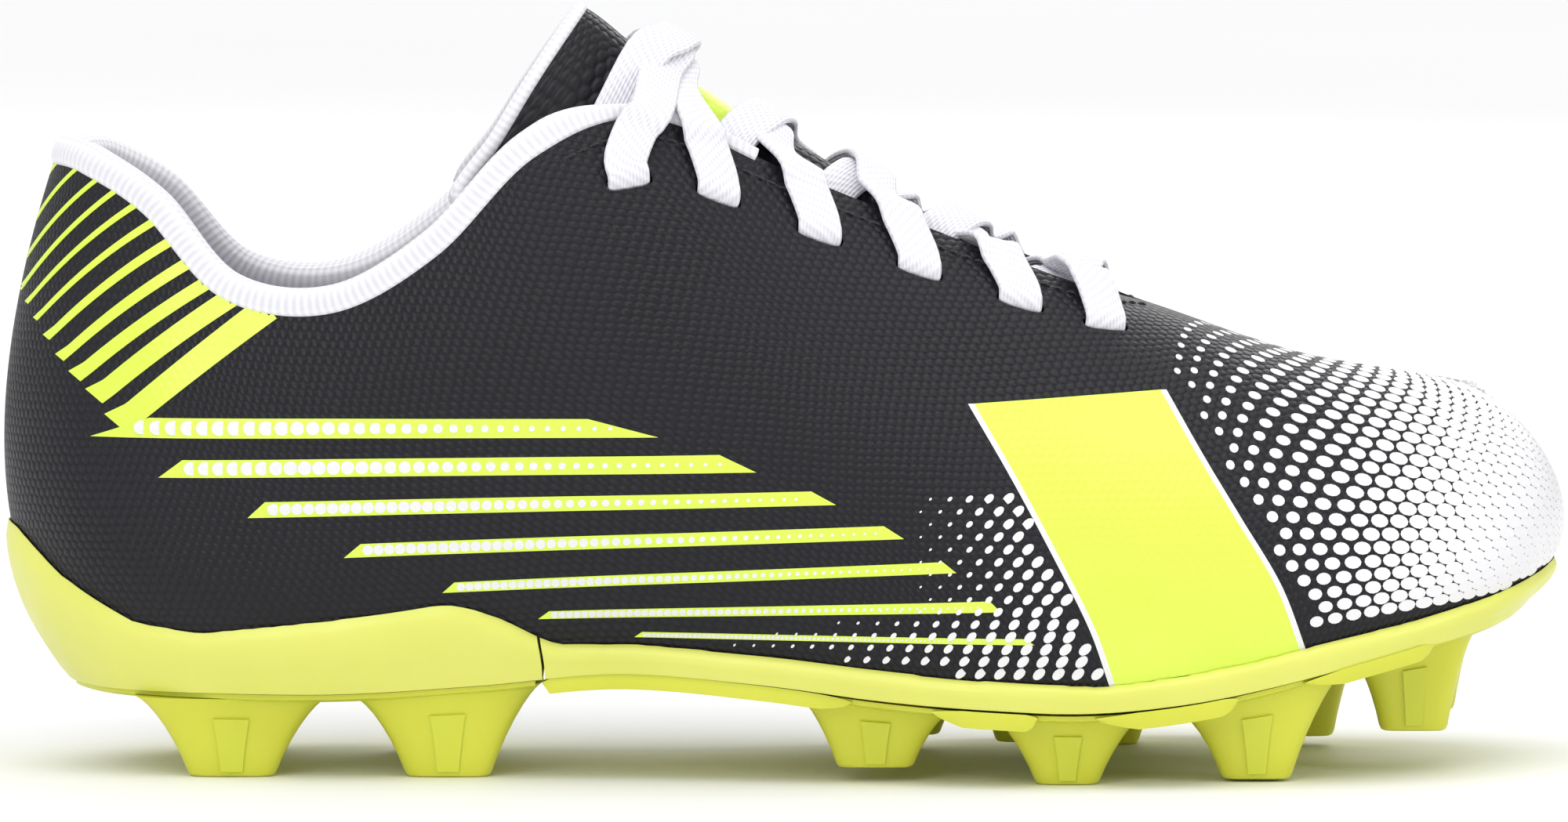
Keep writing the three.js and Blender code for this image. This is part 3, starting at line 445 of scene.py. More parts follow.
synthetic = embossedSynthetic()
neonFilm = filmMaterial("neonFilm", (0.74, 0.94, 0.10), (0.66, 0.88, 0.07))
whiteFilm = filmMaterial("whiteFilm", (0.82, 0.81, 0.82), (0.76, 0.75, 0.77), 0.3)
# the second colour of each woven look is painted shade for the hollows of its weave
laceBraid = wovenMaterial("laceBraid", (0.93, 0.92, 0.95), (0.70, 0.69, 0.76))
tape = wovenMaterial("bindingTape", (0.90, 0.90, 0.92), (0.66, 0.65, 0.70), 0.8, 0.6, 0.00016)
spacerMesh = meshCloth()
paleSole = mouldedPlastic("paleSole", (0.76, 0.77, 0.16), (0.70, 0.72, 0.13))
brightSole = mouldedPlastic("brightSole", (0.70, 0.72, 0.06), (0.62, 0.64, 0.045), 0.38)
thread = wovenMaterial("thread", (0.035, 0.035, 0.04), (0.012, 0.012, 0.015), 0.3, 0.3, 0.0001)
print("materials ready")


def wallUv(places, shares):
    numbers = ribNumber(places)
    samples = np.linspace(0, toeRib, 301)
    waist = wallPoint(samples, np.full_like(samples, 0.45))
    run = np.concatenate([[0], np.cumsum(np.linalg.norm(np.diff(waist, axis=0), axis=-1))])
    u = np.interp(numbers, samples, run)
    place, t = np.meshgrid(places, shares, indexing="ij")
    points = wallPoint(place, t)
    steps = np.linalg.norm(np.diff(points, axis=1), axis=-1)
    v = np.concatenate([np.zeros((len(places), 1)), np.cumsum(steps, 1)], 1)
    start = np.linalg.norm(wallPoint(places, 0 * places) - points[:, 0], axis=-1)
    return np.stack([np.broadcast_to(u[:, None], v.shape), v + start[:, None]], -1)


def closedPairs(places):
    closed = ribNumber(places) >= lastShape["throatEnd"] - 1e-6
    return closed[:-1] & closed[1:]


# a layer of the last between two depths
def lastLayer(name, places, shares, outside, inside):
    place, t = np.meshgrid(places, shares, indexing="ij")
    outer = lastPoint(place, t, outside(place, t))
    inner = lastPoint(place, t, inside(place, t))
    topRim = ~closedPairs(places) if shares[-1] == 1 else None
    whole = places[-1] - places[0] > 29.9
    return makePiece(name, *sheetSolid(outer, inner, wallUv(places, shares), topRim, True, not whole))


def padAt(place, t):
    lengthwise = 1 - smooth(4.4, 6.2, ribNumber(place))
    return lastShape["collarPad"] * lengthwise * smooth(0.45, 0.72, t) * (1 - 0.75 * smooth(0.86, 1, t))


def liningOut(place, t):
    return lastShape["liningDepth"] + padAt(place, t)


def liningIn(place, t):
    return liningOut(place, t) + lastShape["liningThickness"]


# a soft hollow under the eyelets and creases where the ankle bends: height, rib and share with their spreads
reliefShape = {
    "hollow": (0.35, 8.6, 1.5, 0.62, 0.12),
    "crease": (0.10, 6.4, 0.9, 0.55, 0.2),
    "ripple": (21, 9),
}


def mound(number, t, height, rib, ribSpread, share, shareSpread):
    return height * np.exp(-((number - rib) / ribSpread) ** 2) * np.exp(-((t - share) / shareSpread) ** 2)


def upperRelief(place, t):
    number = ribNumber(place)
    lengthwise, upwards = reliefShape["ripple"]
    ripple = np.sin(number * lengthwise + upwards * t)
    return mound(number, t, *reliefShape["hollow"]) + ripple * mound(number, t, *reliefShape["crease"])


def upperInside(place, t):
    return lastShape["upperThickness"] + 0 * place


upper = lastLayer("upper_shell", np.linspace(0, 30, 361), np.linspace(0, 1, 61), upperRelief, upperInside)
attach(upper, synthetic, "shoe", "embossed_synthetic", "upper")
surface = BVHTree.FromObject(upper, bpy.context.evaluated_depsgraph_get())
seam = 5.9  # rib where the collar's mesh is sewn to the vamp's cloth
seamGap = 0.02
collarPlaces = np.linspace(-seam, seam, 121)
collarLining = lastLayer("collar_mesh", collarPlaces, np.linspace(0, 1, 41), liningOut, liningIn)
attach(collarLining, spacerMesh, "shoe", "white_mesh", "collar_lining")
vampPlaces = np.linspace(seam + seamGap, 30 - seam - seamGap, 181)
vampLining = lastLayer("vamp_cloth", vampPlaces, np.linspace(0, 1, 31), liningOut, liningIn)
attach(vampLining, spacerMesh, "shoe", "white_textile", "vamp_lining")
print("upper and lining made")

bindingLook = {"end": 7.75, "height": 4.0, "overlap": 1.2, "proud": 1.5, "narrowing": (6.2, 6.9)}


def collarBinding():
    b = bindingLook
    places = np.linspace(-b["end"], b["end"], 241)
    ones = np.ones_like(places)
    middle = lastPoint(places, ones, liningIn(places, ones) / 2)
    widths = wallNormal(places, ones)
    rise = unit(np.cross(widths, np.gradient(middle, axis=0)))
    taper = 1 - smooth(*b["narrowing"], np.abs(places))
    low = -b["overlap"]  # the tape reaches down over the edge that it wraps
    height = b["height"] * (0.45 + 0.55 * taper)
    path = middle + rise * (low / 2 + height / 2)[:, None]
    wide = liningIn(places, ones) + b["proud"]
    sections = np.stack([ovalSection(w, h - low, 18, 2.6) for w, h in zip(wide, height)])
    obj = makePiece("collar_tape", *barSolid(path, widths, sections), 60)
    return attach(obj, tape, "shoe", "white_textile", "collar_binding")


collarBinding()

soleShape = {
    "wallTop": [(-118, 37.6), (-110, 30), (-99, 23.6), (-89, 22.2), (-69, 24.4), (-51, 27), (-44, 25),
                (-36, 20.8), (-23, 20.9), (0, 19), (23, 16.4), (46, 15.3), (58, 16.8), (70, 19), (81, 21.7),
                (93, 24.1), (105, 27.2), (113, 29.8), (119, 32.6)],
    "cupFront": 4.45, "gap": 0.25, "thickness": 2.0, "plate": 1.6, "base": 1.2, "plateGap": 0.8,
    "inset": 0.6, "baseOverlap": 0.35, "footDrop": 0.72,
}
plateTop = soleShape["plateGap"]
plateBottom = plateTop + soleShape["plate"]
baseTop = plateBottom - soleShape["baseOverlap"]
baseBottom = baseTop + soleShape["base"]


def wallTopAt(x):
    xs, zs = zip(*soleShape["wallTop"])
    samples = np.linspace(-118, 119, 475)
    raw = np.interp(samples, xs, zs)
    soft = np.convolve(np.pad(raw, 8, mode="edge"), np.hanning(17) / np.hanning(17).sum(), "valid")
    return np.interp(x, samples, soft)


def footHeight(x):
    samples = np.linspace(0, toeRib, 600)
    rows = ribAt(samples)
    return np.interp(x, rows[:, 0], rows[:, 2])


def footPoint(places, out, lift):
    places = np.asarray(places, float)
    p = ribAt(places)[..., :3] + outward(places) * np.asarray(out)[..., None]
    p[..., 2] = footHeight(p[..., 0]) + lift
    return p


def acrossPoint(places, share, inset, height):
    outline = footPoint(places, -inset, height)
    middle = (footPoint(-np.asarray(places), -inset, height) + outline) / 2
    return middle + (outline - middle) * share


def soleWallShare(places):
    shares = np.linspace(0, 0.6, 241)
    place, t = np.meshgrid(places, shares, indexing="ij")
    p = wallPoint(place, t)
    above = p[..., 2] >= wallTopAt(p[..., 0])
    return shares[np.argmax(above, axis=1)]


# plate and side wall in one, with a rounded lip along its top
def soleShell(name, places, material, nodes, slot):
    walls = soleWallShare(places)
    shares = [0, 0.35, 0.7, 0.9]
    outside = [acrossPoint(places, s, soleShape["inset"], -plateBottom) for s in shares]
    inside = [acrossPoint(places, s, soleShape["inset"], -plateTop) for s in shares]
    for f in np.linspace(0, 1, 13):
        roundLip = math.sqrt(max(1 - f ** 14, 0.02))
        swell = soleShape["gap"] + soleShape["thickness"] * (1 - 0.55 * f ** 2.5) * roundLip
        out = lastPoint(places, walls * f, -swell)
        out[:, 2] -= soleShape["footDrop"] * (1 - smooth(0, 0.3, f))
        outside.append(out)
        inside.append(lastPoint(places, walls * f, -soleShape["gap"]))
    outer, inner = np.stack(outside, 1), np.stack(inside, 1)
    obj = makePiece(name, *sheetSolid(outer, inner, None, None, False, True), 40)
    return attach(obj, material, "shoe", slot, *nodes)


cupFront = soleShape["cupFront"]
soleShell("heel_cup_shell", np.linspace(-cupFront, cupFront, 121), paleSole, ["heel_cup"], "pale_sole")
soleShell("forefoot_plate", np.linspace(cupFront + 0.02, 30 - cupFront - 0.02, 281), paleSole, ["sole_plate"],
          "pale_sole")

studShape = {
    "heel": [
        [(-84.3, -18), (27, 14), (13.2, 8.4), 0], [(-51.8, -18.5), (26.5, 15), (13, 8.2), 0],
        [(-84.3, 17), (25, 14), (13.2, 8.4), 0], [(-52.5, 15.5), (25, 14), (14, 8.2), 0],
    ],
    "forefoot": [
        [(12.3, -26), (22, 14), (11.6, 7.6), 2.2], [(41, -29.5), (21.5, 14), (9.6, 8), 0],
        [(69.4, -25.5), (23.5, 14), (10.6, 8), 0.4], [(93.5, -11.5), (17.5, 13), (10.2, 7.4), 6.2],
        [(17, 21), (20, 13), (11, 7.4), 2.2], [(48, 28.5), (19, 14), (10, 8), 0],
        [(77.5, 25), (19, 13), (10.6, 7.6), 1.6], [(96, 13), (16, 12), (9.4, 7), 6.8],
        [(35, 3), (15, 14), (8.6, 7.6), 3],
    ],
    "sides": 40, "squareness": 4.2, "panel": 0.36, "rootOverlap": 0.35,
    # height share, share of the way from root to tip, and chamfer
    "levels": [(0, 1.0, -1.2), (0.015, 1.0, -0.4), (0.06, 0.98, 0), (0.25, 0.84, 0), (0.45, 0.66, 0),
               (0.62, 0.48, 0), (0.77, 0.29, 0), (0.88, 0.12, 0), (0.95, -0.02, 0), (1.0, -0.16, 0)],
    "panelLevels": [(0.07, 0.97), (0.25, 0.84), (0.45, 0.66), (0.62, 0.48), (0.74, 0.32)],
}


def turnedFor(faces, turned):
    return [face[::-1] for face in faces] if turned else faces


def studHeight(x, lift, f):
    rootZ = footHeight(x) - baseBottom + studShape["rootOverlap"]
    return lift + (rootZ - lift) * f


# a stud: rings from its chamfered flat tip up to its root in the base
def studRings(at, root, tip, lift):
    cx, cy = at[0], at[1] * lastShape["widthFactor"]
    rings = []
    for f, narrow, inset in studShape["levels"]:
        long, wide = [root[i] + (tip[i] - root[i]) * narrow + inset for i in (0, 1)]
        section = ovalSection(long, wide, studShape["sides"], studShape["squareness"])
        x, y = cx + section[:, 0], cy + section[:, 1]
        rings.append(np.stack([x, y, studHeight(x, lift, f)], -1))
    return rings


# narrow flat panel on the outer face of a stud, widening towards its root
def studPanel(at, root, tip, lift):
    side = 1 if at[1] > 0 else -1
    cx, cy = at[0], at[1] * lastShape["widthFactor"]
    outer, inner = [], []
    for f, narrow in studShape["panelLevels"]:
        half = 0.12 * (root[0] + (tip[0] - root[0]) * narrow)
        face = (root[1] + (tip[1] - root[1]) * narrow) / 2
        x = cx + np.linspace(-half, half, 4)
        for grid, depth in ((outer, studShape["panel"]), (inner, -0.7)):
            grid.append(np.stack([x, 0 * x + cy + side * (face + depth), studHeight(x, lift, f)], -1))
    points, faces, _ = sheetSolid(np.array(outer), np.array(inner))
    return points, turnedFor(faces, side < 0)


def ringsSolid(rings):
    return np.concatenate(rings), ringFaces(len(rings), len(rings[0]))


def joinShapes(shapes):
    faces, count = [], 0
    for points, ownFaces, *_ in shapes:
        faces += [tuple(v + count for v in face) for face in ownFaces]
        count += len(points)
    return np.concatenate([shape[0] for shape in shapes]), faces


def slabShape(places, inset, low, high):
    shares = [0, 0.35, 0.7, 0.94, 1]
    outer = np.stack([acrossPoint(places, s, inset, low + (0.5 if s == 1 else 0)) for s in shares], 1)
    inner = np.stack([acrossPoint(places, s, inset, high) for s in shares], 1)
    points, faces, _ = sheetSolid(outer, inner, None, None, False, True)
    return points, faces


# thin wedge ledge between two studs, tucked under the edge of the plate
def ledgeShape(side, fromX, toX, thick, rise=0.3, proud=2.3):
    samples = np.linspace(0, toeRib, 900)
    line = np.interp(np.linspace(fromX, toX, 41), ribAt(samples)[:, 0], samples)
    places = line if side < 0 else 30 - line
    f = np.linspace(0, 1, 41)
    full = thick * np.minimum(1, f / rise) ** 0.7 * np.minimum(1, (1 - f) * 9) ** 0.5 + 0.08
    out = proud * (0.8 + 0.2 * np.minimum(1, f / rise) * np.minimum(1, (1 - f) * 8))
    section = ((1, -0.3), (1.04, 0.35), (0.9, 1), (-1, 1))
    rim = [footPoint(places, out * a, -plateBottom - full * b) for a, b in section]
    core = footPoint(places, -2.2 + 0 * f, -plateBottom + 0.1)
    points, faces, _ = sheetSolid(np.stack(rim, 1), np.stack([core] * len(section), 1))
    return points, turnedFor(faces, side > 0)


def studFrame(name, places, inset, studs, ledges, node):
    shapes = [slabShape(places, inset, -baseBottom, -baseTop)]
    shapes += [ringsSolid(studRings(*stud)) for stud in studs] + [studPanel(*stud) for stud in studs]
    shapes += [ledgeShape(*ledge) for ledge in ledges]
    points, faces = joinShapes(shapes)
    obj = makePiece(name, points, faces, None, 38)
    return attach(obj, brightSole, "shoe", "bright_sole", node)


frameInset = -0.6
studFrame("heel_studs", np.linspace(-4.4, 4.4, 81), frameInset, studShape["heel"], [], "heel_stud_frame")
ledges = [(-37.5, 9, 1.7, 0.02, 1.6), (21, 36.5, 1.9), (45, 66, 1.9), (76, 95, 1.7)]
studFrame("forefoot_studs", np.linspace(6.2, 23.8, 161), frameInset, studShape["forefoot"],
          [(side, *ledge) for side in (-1, 1) for ledge in ledges], "forefoot_stud_frame")
print("sole made")

tongueShape = {
    "line": [(56, 64.6), (49, 67.2), (40, 71.8), (28, 79), (14, 86.6), (-2, 95), (-17, 103.8),
             (-31.2, 114.2)],
    "half": [9, 10.5, 13, 15.6, 17.4, 18.4, 19.2, 19.4],
    "arch": 0.0789, "shift": 1.4, "face": 0.8, "foam": 2.8, "gap": 0.3, "lining": 0.7, "tape": 2.4,
    "spread": (112, 19),
}


def alongList(values, at):
    values = np.asarray(values, float)
    at = np.clip(np.asarray(at, float), 0, len(values) - 1)
    k = np.minimum(np.floor(at).astype(int), len(values) - 2)
    rows = [values[np.clip(k + n, 0, len(values) - 1)] for n in (-1, 0, 1, 2)]
    f = at - k
    return catmull(*rows, f[..., None] if values.ndim > 1 else f)


def tonguePoint(u, v, depth):
    u, v, depth = together(u, v, depth)
    steps = len(tongueShape["line"]) - 1
    at = u * steps
    beyond = np.maximum(at - steps, 0)[..., None]
    back = np.maximum(np.minimum(at, steps) - 0.05, 0)
    front = np.minimum(back + 0.1, steps)
    step = alongList(tongueShape["line"], front) - alongList(tongueShape["line"], back)
    stepLength = np.linalg.norm(step, axis=-1, keepdims=True) / (front - back)[..., None]
    forward = unit(np.stack([step[..., 0], 0 * u, step[..., 1]], -1))
    normal = np.stack([forward[..., 2], 0 * u, -forward[..., 0]], -1)
    drawnY = v * alongList(tongueShape["half"], at)
    y = drawnY * lastShape["widthFactor"]
    slope = 2 * tongueShape["arch"] * drawnY / lastShape["widthFactor"]
    flat = np.sqrt(1 + slope * slope)
    middle = alongList(tongueShape["line"], at)
    p = np.stack([middle[..., 0], 0 * u, middle[..., 1]], -1) + forward * beyond * stepLength
    p = p + normal * (-tongueShape["arch"] * drawnY * drawnY - depth / flat)[..., None]
    p[..., 1] += y + tongueShape["shift"] * (1 - smooth(0, 0.35, u)) - depth * slope / flat
    return p


def tongueEnd(v):
    return 1 - 0.03 * np.asarray(v) ** 4


def foamAt(u, v):
    fullness = (1 - v ** 4) * smooth(0, 0.25, u) * (1 - 0.5 * smooth(0.85, 1, u))
    return 0.7 + (tongueShape["foam"] - 0.7) * fullness


def tongueBottom(u, v):
    s = tongueShape
    return s["face"] + s["gap"] + foamAt(u, v) + s["gap"] + s["lining"]


# the padded face swells a little between the rows of lace
def tongueSwell(u, v):
    rows = 0.5 + 0.5 * np.cos(u * 2 * math.pi * 7.2)
    return -0.35 * rows * (1 - v ** 2) * smooth(0.1, 0.3, u)


def tongueLayer(name, outside, inside, uFrom=0.0, uTo=tongueEnd, reach=1.0, count=(49, 81)):
    vs, fs = np.linspace(-reach, reach, count[0]), np.linspace(0, 1, count[1])
    v, f = np.meshgrid(vs, fs, indexing="ij")
    u = uFrom + (uTo(v) - uFrom) * f
    uv = np.stack([u, v], -1) * tongueShape["spread"]
    return makePiece(name, *sheetSolid(tonguePoint(u, v, outside(u, v)), tonguePoint(u, v, inside(u, v)), uv))


padTop = tongueShape["face"] + tongueShape["gap"]
padBack = padTop + tongueShape["gap"]
tongueFace = tongueLayer("tongue_front", tongueSwell, lambda u, v: 0 * u + tongueShape["face"])
attach(tongueFace, synthetic, "tongue", "embossed_synthetic", "tongue_face")
tonguePad = tongueLayer("tongue_pad", lambda u, v: 0 * u + padTop, lambda u, v: padTop + foamAt(u, v))
padFoam = plainSheet("padFoam", (0.7, 0.68, 0.62), 0.95, 1500)
attach(tonguePad, padFoam, "tongue", "pad_foam", "tongue_foam")
tongueBack = tongueLayer("tongue_back", lambda u, v: padBack + foamAt(u, v), tongueBottom)
attach(tongueBack, spacerMesh, "tongue", "white_mesh", "tongue_lining")


def tongueTape():
    s = tongueShape
    away = s["tape"] / 2 - 0.3
    beside = lambda u: 1 + away / (alongList(s["half"], u * 7) * 1.7)
    beyond = (away + 0.3) / 100
    sideStops = np.linspace(0.08, 0.9, 14)
    stops = [(u, -beside(u)) for u in sideStops] + [(0.99, -1.05)]
    stops += [(tongueEnd(v) + beyond, v) for v in np.linspace(-0.88, 0.88, 13)]
    stops += [(0.99, 1.05)] + [(u, beside(u)) for u in sideStops[::-1]]
    stops = smoothPath(stops, 5)
    u, v = stops[:, 0], stops[:, 1]
    depth = tongueBottom(np.minimum(u, 1), np.clip(v, -1, 1))
    path = tonguePoint(u, v, depth / 2)
    lies = tonguePoint(u, v, 0) - tonguePoint(u, v, 3)
    sections = np.stack([ovalSection(d + 0.9, s["tape"], 16, 3) for d in depth])
    obj = makePiece("tongue_tape", *barSolid(path, lies, sections), 60)
    return attach(obj, tape, "tongue", "white_textile", "tongue_binding")


tongueTape()
labelShape = {"from": 0.74, "to": 0.88, "reach": 0.42, "lift": 0.3, "sink": 0.02}
label = tongueLayer("tongue_bar_label", lambda u, v: tongueSwell(u, v) - labelShape["lift"],
                    lambda u, v: tongueSwell(u, v) - labelShape["sink"], labelShape["from"],
                    lambda v: 0 * v + labelShape["to"], labelShape["reach"], (21, 21))
attach(label, neonFilm, "tongue", "neon_film", "tongue_label")
print("tongue made")

laceShape = {"width": 6.6, "thickness": 1.0, "clear": 0.4, "slotShare": 0.85, "first": 6.8, "step": 0.665,
             "eyelets": 6, "tail": 0.42, "topPull": 0.5, "lowestEase": 3.9, "label": 0.3, "aglet": 0.4}
insideDepth = lastShape["liningDepth"] + lastShape["liningThickness"]
laceBow = 0.0105 * laceShape["width"] ** 2
lacePitch = laceShape["thickness"] + laceShape["clear"]
laceUnder = insideDepth + laceShape["clear"] + laceShape["thickness"] / 2
laceOver = -(laceShape["clear"] + laceShape["thickness"] / 2)
laceLow = 0.3 + laceShape["label"] + laceShape["clear"] + laceShape["thickness"] / 2
laceHigh = laceLow + lacePitch
tongueRun = np.array(tongueShape["line"][0]) - np.array(tongueShape["line"][-1])
flatLie = unit(np.array([tongueRun[0], 0, tongueRun[1]]))


def slotAt(k):
    return laceShape["first"] + laceShape["step"] * k


def sidePlace(side, at):
    return at if side < 0 else 2 * toeRib - at


def throatDirection(side, at):
    share = laceShape["slotShare"]
    a, b = [wallPoint(sidePlace(side, at + d), share) for d in (-0.3, 0.3)]
    return unit(b - a)


def tongueShareAt(at):
    shares = np.linspace(1, 0, 400)
    xs = tonguePoint(shares, 0, 0)[:, 0]
    return float(np.interp(wallPoint(at, 1.0)[0], xs, shares))


def slotTurn(side, k):
    at, lie = sidePlace(side, slotAt(k)), throatDirection(side, slotAt(k))
    hole, turn = laceShape["slotShare"] - 0.003, laceShape["slotShare"] + 0.012
    path = [(turn + 0.028, laceUnder + laceBow / 2), (turn, laceUnder - 0.1), (hole, laceUnder - 1.2),
            (hole, insideDepth / 2), (hole, laceOver + 1.2), (turn, laceOver + 0.25 - laceBow / 4),
            (turn + 0.028, laceOver - laceBow / 4)]
    return [(lastPoint(at, t, depth), lie) for t, depth in path]


# from one slot over the tongue and under the other side, by depth in the wall or height over the tongue
def crossing(side, start, end, height, ease, pull=0.0, dive=0.0):
    def at(f):
        return start + (end - start) * f + 4 * pull * f * (1 - f)

    def onSide(which, f, t, depth):
        return lastPoint(sidePlace(which, at(f)), t, depth), throatDirection(which, at(f))

    def over(f, v, rise):
        return tonguePoint(tongueShareAt(at(f)), v * side, -height - rise), flatLie

    under = laceUnder + dive + ease / 4
    return [
        onSide(side, 0.08, 0.95, laceOver - 0.25 - ease / 4),
        onSide(side, 0.18, 1, laceOver - 0.6 - ease / 3),
        over(0.34, 0.34, 0.5 + ease), over(0.43, 0.16, 0.1 + ease / 2),
        over(0.5, 0, 0), over(0.57, -0.16, 0), over(0.66, -0.34, 0),
        onSide(-side, 0.82, 1, under + laceBow), onSide(-side, 0.94, 0.945, under + laceBow / 2),
    ]


def halfLace(side, height):
    route = []
    for k in range(laceShape["eyelets"] - 1, 0, -1):
        ease = laceShape["lowestEase"] if k == laceShape["eyelets"] - 1 else 1
        route += slotTurn(side, k) + crossing(side, slotAt(k), slotAt(k - 1), height, ease)
        side = -side
    tail = slotAt(0) - laceShape["tail"]
    route += slotTurn(side, 0)
    route += crossing(side, slotAt(0), tail, height + 2 * lacePitch, 0.4, laceShape["topPull"], lacePitch)
    tuck = laceUnder + laceBow
    for t, depth in ((0.88, tuck), (0.81, tuck), (0.74, tuck + laceShape["aglet"])):
        route.append((lastPoint(sidePlace(-side, tail), t, depth), throatDirection(-side, tail)))
    return route


def laceRoute():
    u = tongueShareAt(slotAt(laceShape["eyelets"] - 1))
    bar = [(tonguePoint(u, v, -laceLow), flatLie) for v in (-0.45, 0, 0.45)]
    return halfLace(-1, laceHigh)[::-1] + bar + halfLace(1, laceLow)


def makeLace():
    route = laceRoute()
    stops = smoothPath([p for p, _ in route], 5)
    lies = smoothPath([lie for _, lie in route], 5)
    section = ovalSection(laceShape["width"], laceShape["thickness"] + 0.25, 20, 3.4)
    obj = makePiece("flat_lace", *barSolid(stops, lies, section), 60)
    return attach(obj, laceBraid, "shoe", "lace_braid", "lace")


makeLace()


# rounded cutters through the upper and its lining, one for each slot
slotCut = {"long": 1.14, "tall": 2.5, "reach": (-6.0, 4.0)}


def slotCutter():
    shapes = []
    share = laceShape["slotShare"]
    outline = ovalSection(laceShape["width"] * slotCut["long"], slotCut["tall"], 20, 3)
    for side in (-1, 1):
        for k in range(laceShape["eyelets"]):
            at = sidePlace(side, slotAt(k))
            normal = wallNormal(at, share)
            forward = throatDirection(side, slotAt(k))
            forward = unit(forward - normal * np.dot(forward, normal))
            ring = forward * outline[:, :1] + np.cross(normal, forward) * outline[:, 1:]
            middle = lastPoint(at, share, insideDepth / 2)
            shapes.append(ringsSolid([middle + ring + normal * reach for reach in slotCut["reach"]]))
    return makePiece("slotCutter", *joinShapes(shapes), None, 0)


def cutSlots(*pieces):
    cutter = slotCutter()
    for piece in pieces:
        modifier = piece.modifiers.new("slots", "BOOLEAN")
        modifier.operation, modifier.object = "DIFFERENCE", cutter
        modifier.solver = "MANIFOLD"
        graph = bpy.context.evaluated_depsgraph_get()
        piece.data = bpy.data.meshes.new_from_object(piece.evaluated_get(graph))
        piece.modifiers.clear()
        piece.data.shade_smooth()
        piece.data.set_sharp_from_angle(angle=math.radians(50))
    bpy.data.objects.remove(cutter)


cutSlots(upper, vampLining)
print("lace and its slots made")

# films stand this many mm proud of the upper, and dots a little more than the bars under them
filmLook = {"lift": 0.09, "sink": 0.12, "dotLift": 0.17}


def castSide(x, z, side):
    start = Vector(toFrame([x, 0, z]).tolist())
    start.y = -0.2 if side < 0 else 0.2
    hit, normal, _, _ = surface.ray_cast(start, Vector((0, -side, 0)))
    if hit is None or hit.y * side < -0.001:
        return None, None
    return hit, normal


# a strip between two edge lines given in side view, laid on the surface and left out where it misses
def castStrip(lower, upper, side, rows=4):
    lower, upper = np.asarray(lower, float), np.asarray(upper, float)
    outer, inner, uv, missed = [], [], [], []
    for a, b in zip(lower, upper):
        for f in np.linspace(0, 1, rows):
            x, z = a + (b - a) * f
            hit, normal = castSide(x, z, side)
            missed.append(hit is None)
            if hit is None:
                hit, normal = Vector((0, 0, 0)), Vector((0, 0, 0))
            outer.append(hit + normal * filmLook["lift"] * mm)
            inner.append(hit - normal * filmLook["sink"] * mm)
            uv.append((x, z))
    shape = (len(lower), rows, 3)
    outer, inner = [np.array([tuple(p) for p in grid]).reshape(shape) for grid in (outer, inner)]
    points, faces, uvs = sheetSolid(outer, inner, np.array(uv).reshape(len(lower), rows, 2))
    lost = np.array(missed * 2)
    kept = np.cumsum(~lost) - 1
    faces = [tuple(kept[v] for v in face) for face in faces if not lost[list(face)].any()]
    return points[~lost], turnedFor(faces, side > 0), uvs[~lost]


def discShape(centre, normal, along, radiusAlong, radiusAcross, lift, sides=14):
    normal, along = unit(np.asarray(normal, float)), unit(np.asarray(along, float))
    across = np.cross(normal, along)
    angle = np.arange(sides) * 2 * math.pi / sides
    rim = along * (np.cos(angle) * radiusAlong)[:, None] + across * (np.sin(angle) * radiusAcross)[:, None]
    base = np.asarray(centre) + rim
    points = np.concatenate([base + normal * lift, base - normal * filmLook["sink"] * mm])
    faces = [tuple(range(sides)), tuple(range(sides, 2 * sides))[::-1]]
    faces += [(k, k + sides, (k + 1) % sides + sides, (k + 1) % sides) for k in range(sides)]
    return points, faces


def filmPiece(name, shapes, material, slot="neon_film"):
    points, faces = joinShapes(shapes)
    uvs = [shape[2] if len(shape) > 2 else shape[0][:, [0, 2]] / mm for shape in shapes]
    obj = makePiece(name, points, faces, np.concatenate(uvs), 60, False, True)
    return attach(obj, material, "shoe", slot)


def line(a, b, count):
    return np.linspace(np.asarray(a, float), np.asarray(b, float), count)


# side bars: lower left, upper left, upper right, lower right corners
barShapes = [
    [(-105.3, 51.5), (-96.3, 54.6), (-30.6, 55.1), (-20.1, 52.4)],
    [(-94.9, 45.7), (-91.3, 48.4), (-11.0, 49.8), (-5.5, 47.2)],
    [(-81.5, 39.9), (-78.9, 42.3), (2.7, 44.4), (6.4, 42.4)],
    [(-67.1, 34), (-64.6, 36.1), (13.5, 39.3), (16.5, 37.4)],
    [(-52.4, 28.7), (-50.6, 30.3), (22.3, 34), (24.3, 32.4)],
    [(-38.1, 24.7), (-36.5, 25.9), (29.3, 28.2), (30.9, 26.6)],
    [(-23.7, 22), (-22.6, 22.8), (34.7, 22.6), (35.9, 21.7)],
]
barDots = {"pitch": 2.5, "start": 3.5, "stop": 6}


def sideBars():
    bars, dots = [], []
    for side in (-1, 1):
        for a, b, c, d in barShapes:
            bars.append(castStrip(line(a, d, 60), line(b, c, 60), side))
            height = (b[1] - a[1] + c[1] - d[1]) / 2
            x = a[0] + (b[0] - a[0]) * 0.5 + barDots["start"] * height / 3
            while x < d[0] - barDots["stop"] * height / 3:
                f = (x - a[0]) / (d[0] - a[0])
                z = a[1] + (d[1] - a[1]) * f + (b[1] - a[1] + (c[1] - d[1] - b[1] + a[1]) * f) / 2
                radius = 0.40 * height * (1 - 0.75 * smooth(0.2, 1.0, f))
                hit, normal = castSide(x, z, side)
                if hit is not None:
                    lift = filmLook["dotLift"] * mm
                    dots.append(discShape(hit, normal, (1, 0, 0), radius * mm, radius * mm, lift))
                x += barDots["pitch"] * height / 3.1
    filmPiece("side_bars", bars, neonFilm)
    filmPiece("side_bar_dots", dots, whiteFilm)


